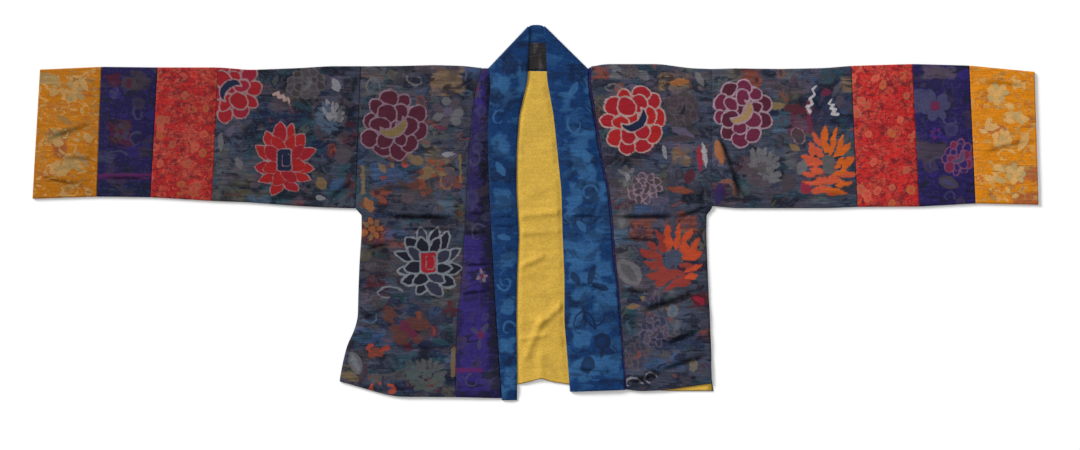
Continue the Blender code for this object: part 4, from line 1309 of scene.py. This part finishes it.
# A silk's ribs to a metre, its streaks along and across the weft, the darkest and lightest of them, its
# roughness, the rise of its figures and its mottles. A mottle changes the ground's colour where noise
# passes from low to high. One whose low is 0 is a vine, which follows the middle of the noise.
Mottle = namedtuple("Mottle", "dye scale_x scale_y low high distortion strength")
Weave = namedtuple("Weave", "rib streak broad dark light rough figure_rough rise mottles")
WEAVES = {
    "brocade": Weave(
        620, 0.32, 0.20, 0.26, 0.72, 0.66, 0.52, 0.00022,
        [
            ("ink", 30, 62, 0.52, 0.58, 0.6, 0.78), ("teal", 24, 46, 0.56, 0.62, 0.8, 0.50),
            ("greyplum", 28, 44, 0.55, 0.61, 0.4, 0.55), ("sky", 56, 70, 0.0, 0.028, 1.4, 0.34),
        ],
    ),
    "red": Weave(
        620, 0.24, 0.06, 0.54, 0.84, 0.62, 0.50, 0.00012,
        [
            ("salmon", 46, 52, 0.44, 0.60, 0.8, 0.26), ("maroon", 62, 70, 0.0, 0.055, 1.8, 0.72),
            ("maroon", 100, 112, 0.55, 0.61, 0.8, 0.68), ("salmon", 150, 160, 0.60, 0.66, 1.2, 0.40),
        ],
    ),
    "purple": Weave(
        620, 0.26, 0.10, 0.40, 0.70, 0.62, 0.50, 0.00012,
        [
            ("haze", 46, 52, 0.0, 0.030, 1.8, 0.50), ("umber", 22, 26, 0.56, 0.64, 0.6, 0.45),
            ("ink", 36, 80, 0.55, 0.63, 0.4, 0.75),
        ],
    ),
    "gold": Weave(
        620, 0.22, 0.06, 0.56, 0.84, 0.56, 0.46, 0.00012,
        [
            ("bronze", 40, 80, 0.56, 0.64, 1.2, 0.60), ("cream", 50, 74, 0.56, 0.62, 1.4, 0.60),
            ("rust", 30, 90, 0.58, 0.66, 0.8, 0.45), ("sage", 90, 110, 0.60, 0.66, 1.0, 0.40),
        ],
    ),
    "collar": Weave(
        620, 0.20, 0.06, 0.46, 0.74, 0.60, 0.50, 0.00012,
        [
            ("lapis", 28, 34, 0.52, 0.60, 1.0, 0.34), ("deep", 26, 38, 0.53, 0.61, 0.9, 0.52),
            ("lapis", 60, 68, 0.0, 0.026, 1.8, 0.30),
        ],
    ),
    "lining": Weave(
        820, 0.10, 0.02, 0.74, 0.80, 0.55, 0.50, 0.0,
        [("bronze", 34, 30, 0.52, 0.70, 0.6, 0.26)],
    ),
    "facing": Weave(
        620, 0.20, 0.06, 0.14, 0.46, 0.70, 0.60, 0.0,
        [("ash", 90, 24, 0.52, 0.62, 0.2, 0.50)],
    ),
}


# How softly a figure's edge ends, and how far the ribs and the streaks stand out.
EDGE_SOFTNESS = 0.0005
RIB_HEIGHT = 0.00004
STREAK_HEIGHT = 0.00016


def woven(name):
    """A silk: its ground and mottles, the figures that the cloth's drawing gives, its threads and ribs."""
    weave = WEAVES[name]
    finish = Finish("woven_" + name)
    colour = finish.attribute("ground")
    for mottle in map(Mottle._make, weave.mottles):
        scale = (mottle.scale_x, mottle.scale_y, 40.0)
        level = finish.noise(scale, 3.0, 0.55, mottle.distortion)
        if mottle.low == 0:
            level = finish.math("ABSOLUTE", finish.math("SUBTRACT", level, 0.5))
            share = finish.ease(level, mottle.low, mottle.high, mottle.strength, 0.0)
        else:
            share = finish.ease(level, mottle.low, mottle.high, 0.0, mottle.strength)
        colour = finish.blend(share, colour, (*DYES[mottle.dye], 1))
    wander = finish.math("MULTIPLY_ADD", finish.noise((700, 700, 700), 2.0), 0.0016, -0.0008)
    inside = finish.math("ADD", finish.attribute("inside", "Fac"), wander)
    off_line = finish.math("ADD", finish.attribute("off_line", "Fac"), wander)
    figure = finish.ease(inside, -EDGE_SOFTNESS, EDGE_SOFTNESS)
    line = finish.ease(off_line, -EDGE_SOFTNESS, EDGE_SOFTNESS, 1.0, 0.0)
    colour = finish.blend(figure, colour, finish.attribute("figure"))
    colour = finish.blend(line, colour, finish.attribute("line"))
    streak = finish.noise((55, 900, 55), 3.0, 0.7)
    steady = finish.math("MULTIPLY", figure, 0.65)
    amount = finish.ease(streak, 0.5 - weave.streak, 0.5 + weave.streak, weave.dark, weave.light)
    colour = finish.tint(colour, finish.level(steady, amount, (weave.dark + weave.light) / 2))
    broad = finish.ease(finish.noise((26, 210, 26), 2.0, 0.6), 0.36, 0.64, 1 - weave.broad, 1 + weave.broad)
    colour = finish.tint(colour, finish.level(steady, broad, 1.0))
    speck = finish.noise((420, 520, 420), 2.0, 0.6)
    colour = finish.tint(colour, finish.ease(speck, 0.3, 0.7, 0.86, 1.14))
    rough = finish.ease(figure, 0.0, 1.0, weave.rough, weave.figure_rough)
    place = finish.add("TexCoord", {}).outputs["Object"]
    bands = {"Vector": place, "Scale": float(weave.rib), "Distortion": 0.6, "Detail": 1.0}
    ribs = finish.add("TexWave", bands, bands_direction="Y").outputs["Fac"]
    height = finish.math("MULTIPLY", ribs, RIB_HEIGHT)
    height = finish.math("MULTIPLY_ADD", streak, STREAK_HEIGHT, height)
    height = finish.math("MULTIPLY_ADD", figure, weave.rise, height)
    height = finish.math("MULTIPLY_ADD", line, weave.rise, height)
    bump = finish.add("Bump", {"Height": height, "Distance": 1.0, "Strength": 0.8}).outputs[0]
    look = {"Base Color": colour, "Roughness": rough, "Normal": bump, "Specular IOR Level": 0.10}
    finish.fill(finish.shader, {**look, "Sheen Weight": 0.02, "Sheen Roughness": 0.4})
    return finish.material


def colour_property(name, description, default):
    return FloatVectorProperty(
        name=name, description=description, subtype="COLOR", size=3, min=0, max=1, default=default
    )


def size_property(name, description, default, low, high, **kind):
    return FloatProperty(name=name, description=description, default=default, min=low, max=high, **kind)


class RobeColours(PropertyGroup):
    """The grounds of the silks, in linear light."""

    brocade: colour_property("Brocade", "Ground of the fronts, back and sleeves", srgb(74, 78, 98))
    red: colour_property("Red bands", "Ground of the red bands", srgb(196, 40, 38))
    purple: colour_property("Purple bands", "Ground of the purple bands and front strips", srgb(40, 30, 92))
    gold: colour_property("Cuffs", "Ground of the cuffs", srgb(212, 128, 8))
    collar: colour_property("Collar", "Ground of the collar's damask", srgb(10, 58, 114))
    lining: colour_property("Lining", "Silk of the back's lining", srgb(220, 178, 72))
    facing: colour_property("Neck facing", "Cloth inside the neck", srgb(72, 66, 70))
    floor: colour_property("Floor", "The floor that the robe lies on", (0.94, 0.94, 0.94))


class RobeSizes(PropertyGroup):
    """Sizes of the cloth's unevenness, and the place of the camera."""

    loft: size_property("Loft", "Lift of a panel's middle", 0.0013, 0, 0.003, unit="LENGTH")
    seam_dip: size_property("Seam dip", "Dip along a seam", 0.0005, 0, 0.001, unit="LENGTH")
    crease_depth: size_property("Crease depth", "Scale of the creases", 1.6, 0, 2, subtype="FACTOR")
    rumple: size_property("Rumple", "Scale of the small swells", 1.7, 0, 3, subtype="FACTOR")
    camera_height: size_property("Camera height", "Height of the camera", 4.8, 1, 20, unit="LENGTH")


class RobeOperator(Operator):
    bl_options = {"REGISTER", "UNDO"}


class ROBE_OT_back(RobeOperator):
    """Lay the back and its lining"""

    bl_idname = "robe.back"
    bl_label = "Back and lining"

    def execute(self, context):
        back_layer("back", "brocade", BACK_Z, BACK_WALL, 0, 0)
        back_layer("back_lining", "lining", LINING_Z, LINING_WALL, LINING_TUCK, LINING_HEM)
        return {"FINISHED"}


class ROBE_OT_fronts(RobeOperator):
    """Lay the two fronts and their strips"""

    bl_idname = "robe.fronts"
    bl_label = "Fronts and strips"

    def execute(self, context):
        for side in SIGN:
            front(side)
            strip(side)
        return {"FINISHED"}


class ROBE_OT_collar(RobeOperator):
    """Fold the collar, with its facing"""

    bl_idname = "robe.collar"
    bl_label = "Collar and facing"

    def execute(self, context):
        collar()
        collar_facing()
        return {"FINISHED"}


class ROBE_OT_arms(RobeOperator):
    """Lay the sleeves, and the bands and cuffs that lengthen them"""

    bl_idname = "robe.arms"
    bl_label = "Sleeves, bands and cuffs"

    def execute(self, context):
        for side, sections in ARMS.items():
            start = 0
            for index, section in enumerate(sections):
                if section.ends:
                    arm_piece(section.ends, side, sections[start : index + 1])
                    start = index
        return {"FINISHED"}


# Where each lamp shines from, its strength and its spread in degrees; the light of the room; the camera.
LAMPS = {"key": ((-1.35, 1.15, 1.0), 3.44, 22), "top": ((0.05, 0.05, 1.0), 1.05, 50)}
ROOM_LIGHT = 0.22
FLOOR_REACH = 6.0
CAMERA_OVER = (0.0072, -0.0200)
LENS = 100
SENSOR = 36


class ROBE_OT_stage(RobeOperator):
    """Set the floor, the lights and the camera"""

    bl_idname = "robe.stage"
    bl_label = "Floor, lights and camera"

    def execute(self, context):
        scene = context.scene
        net = bmesh.new()
        bmesh.ops.create_grid(net, x_segments=1, y_segments=1, size=FLOOR_REACH)
        data = bpy.data.meshes.new("floor")
        net.to_mesh(data)
        net.free()
        floor = bpy.data.objects.new("floor", data)
        scene.collection.objects.link(floor)
        paint = Finish("floor_paint")
        colour = (*scene.robe_colours.floor, 1)
        paint.fill(paint.shader, {"Base Color": colour, "Roughness": 0.9, "Specular IOR Level": 0.0})
        data.materials.append(paint.material)
        world = bpy.data.worlds.new("studio")
        world.use_nodes = True
        sky = world.node_tree.nodes["Background"]
        sky.inputs["Color"].default_value = (1, 1, 1, 1)
        sky.inputs["Strength"].default_value = ROOM_LIGHT
        scene.world = world
        for name, (towards, energy, spread) in LAMPS.items():
            self.lamp(name, towards, energy, math.radians(spread))
        scene.view_settings.view_transform = "Standard"
        scene.view_settings.look = "None"
        camera_data = bpy.data.cameras.new("camera")
        camera_data.lens = LENS
        camera_data.sensor_width = SENSOR
        camera = bpy.data.objects.new("camera", camera_data)
        camera.location = (*CAMERA_OVER, scene.robe_sizes.camera_height)
        scene.collection.objects.link(camera)
        scene.camera = camera
        return {"FINISHED"}

    def lamp(self, name, towards, energy, spread):
        data = bpy.data.lights.new(name, "SUN")
        data.energy = energy
        data.angle = spread
        lamp = bpy.data.objects.new(name, data)
        lamp.location = [3 * part for part in towards]
        lamp.rotation_euler = lamp.location.to_track_quat("Z", "Y").to_euler()
        bpy.context.scene.collection.objects.link(lamp)


class ROBE_PT_panel(Panel):
    """The robe's pieces, sizes and colours"""

    bl_label = "Robe"
    bl_space_type = "VIEW_3D"
    bl_region_type = "UI"
    bl_category = "Robe"

    def draw(self, context):
        for group in (context.scene.robe_sizes, context.scene.robe_colours):
            for name in type(group).__annotations__:
                self.layout.prop(group, name)
        for operator in OPERATORS:
            self.layout.operator(operator.bl_idname)


OPERATORS = (ROBE_OT_back, ROBE_OT_fronts, ROBE_OT_collar, ROBE_OT_arms, ROBE_OT_stage)
CLASSES = (RobeColours, RobeSizes, *OPERATORS, ROBE_PT_panel)


def register():
    for made in CLASSES:
        bpy.utils.register_class(made)
    bpy.types.Scene.robe_colours = PointerProperty(type=RobeColours)
    bpy.types.Scene.robe_sizes = PointerProperty(type=RobeSizes)


def unregister():
    del bpy.types.Scene.robe_colours
    del bpy.types.Scene.robe_sizes
    for made in reversed(CLASSES):
        bpy.utils.unregister_class(made)


def main():
    register()
    bpy.ops.robe.back()
    bpy.ops.robe.fronts()
    bpy.ops.robe.collar()
    bpy.ops.robe.arms()
    bpy.ops.robe.stage()
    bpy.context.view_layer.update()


if __name__ == "__main__":
    main()
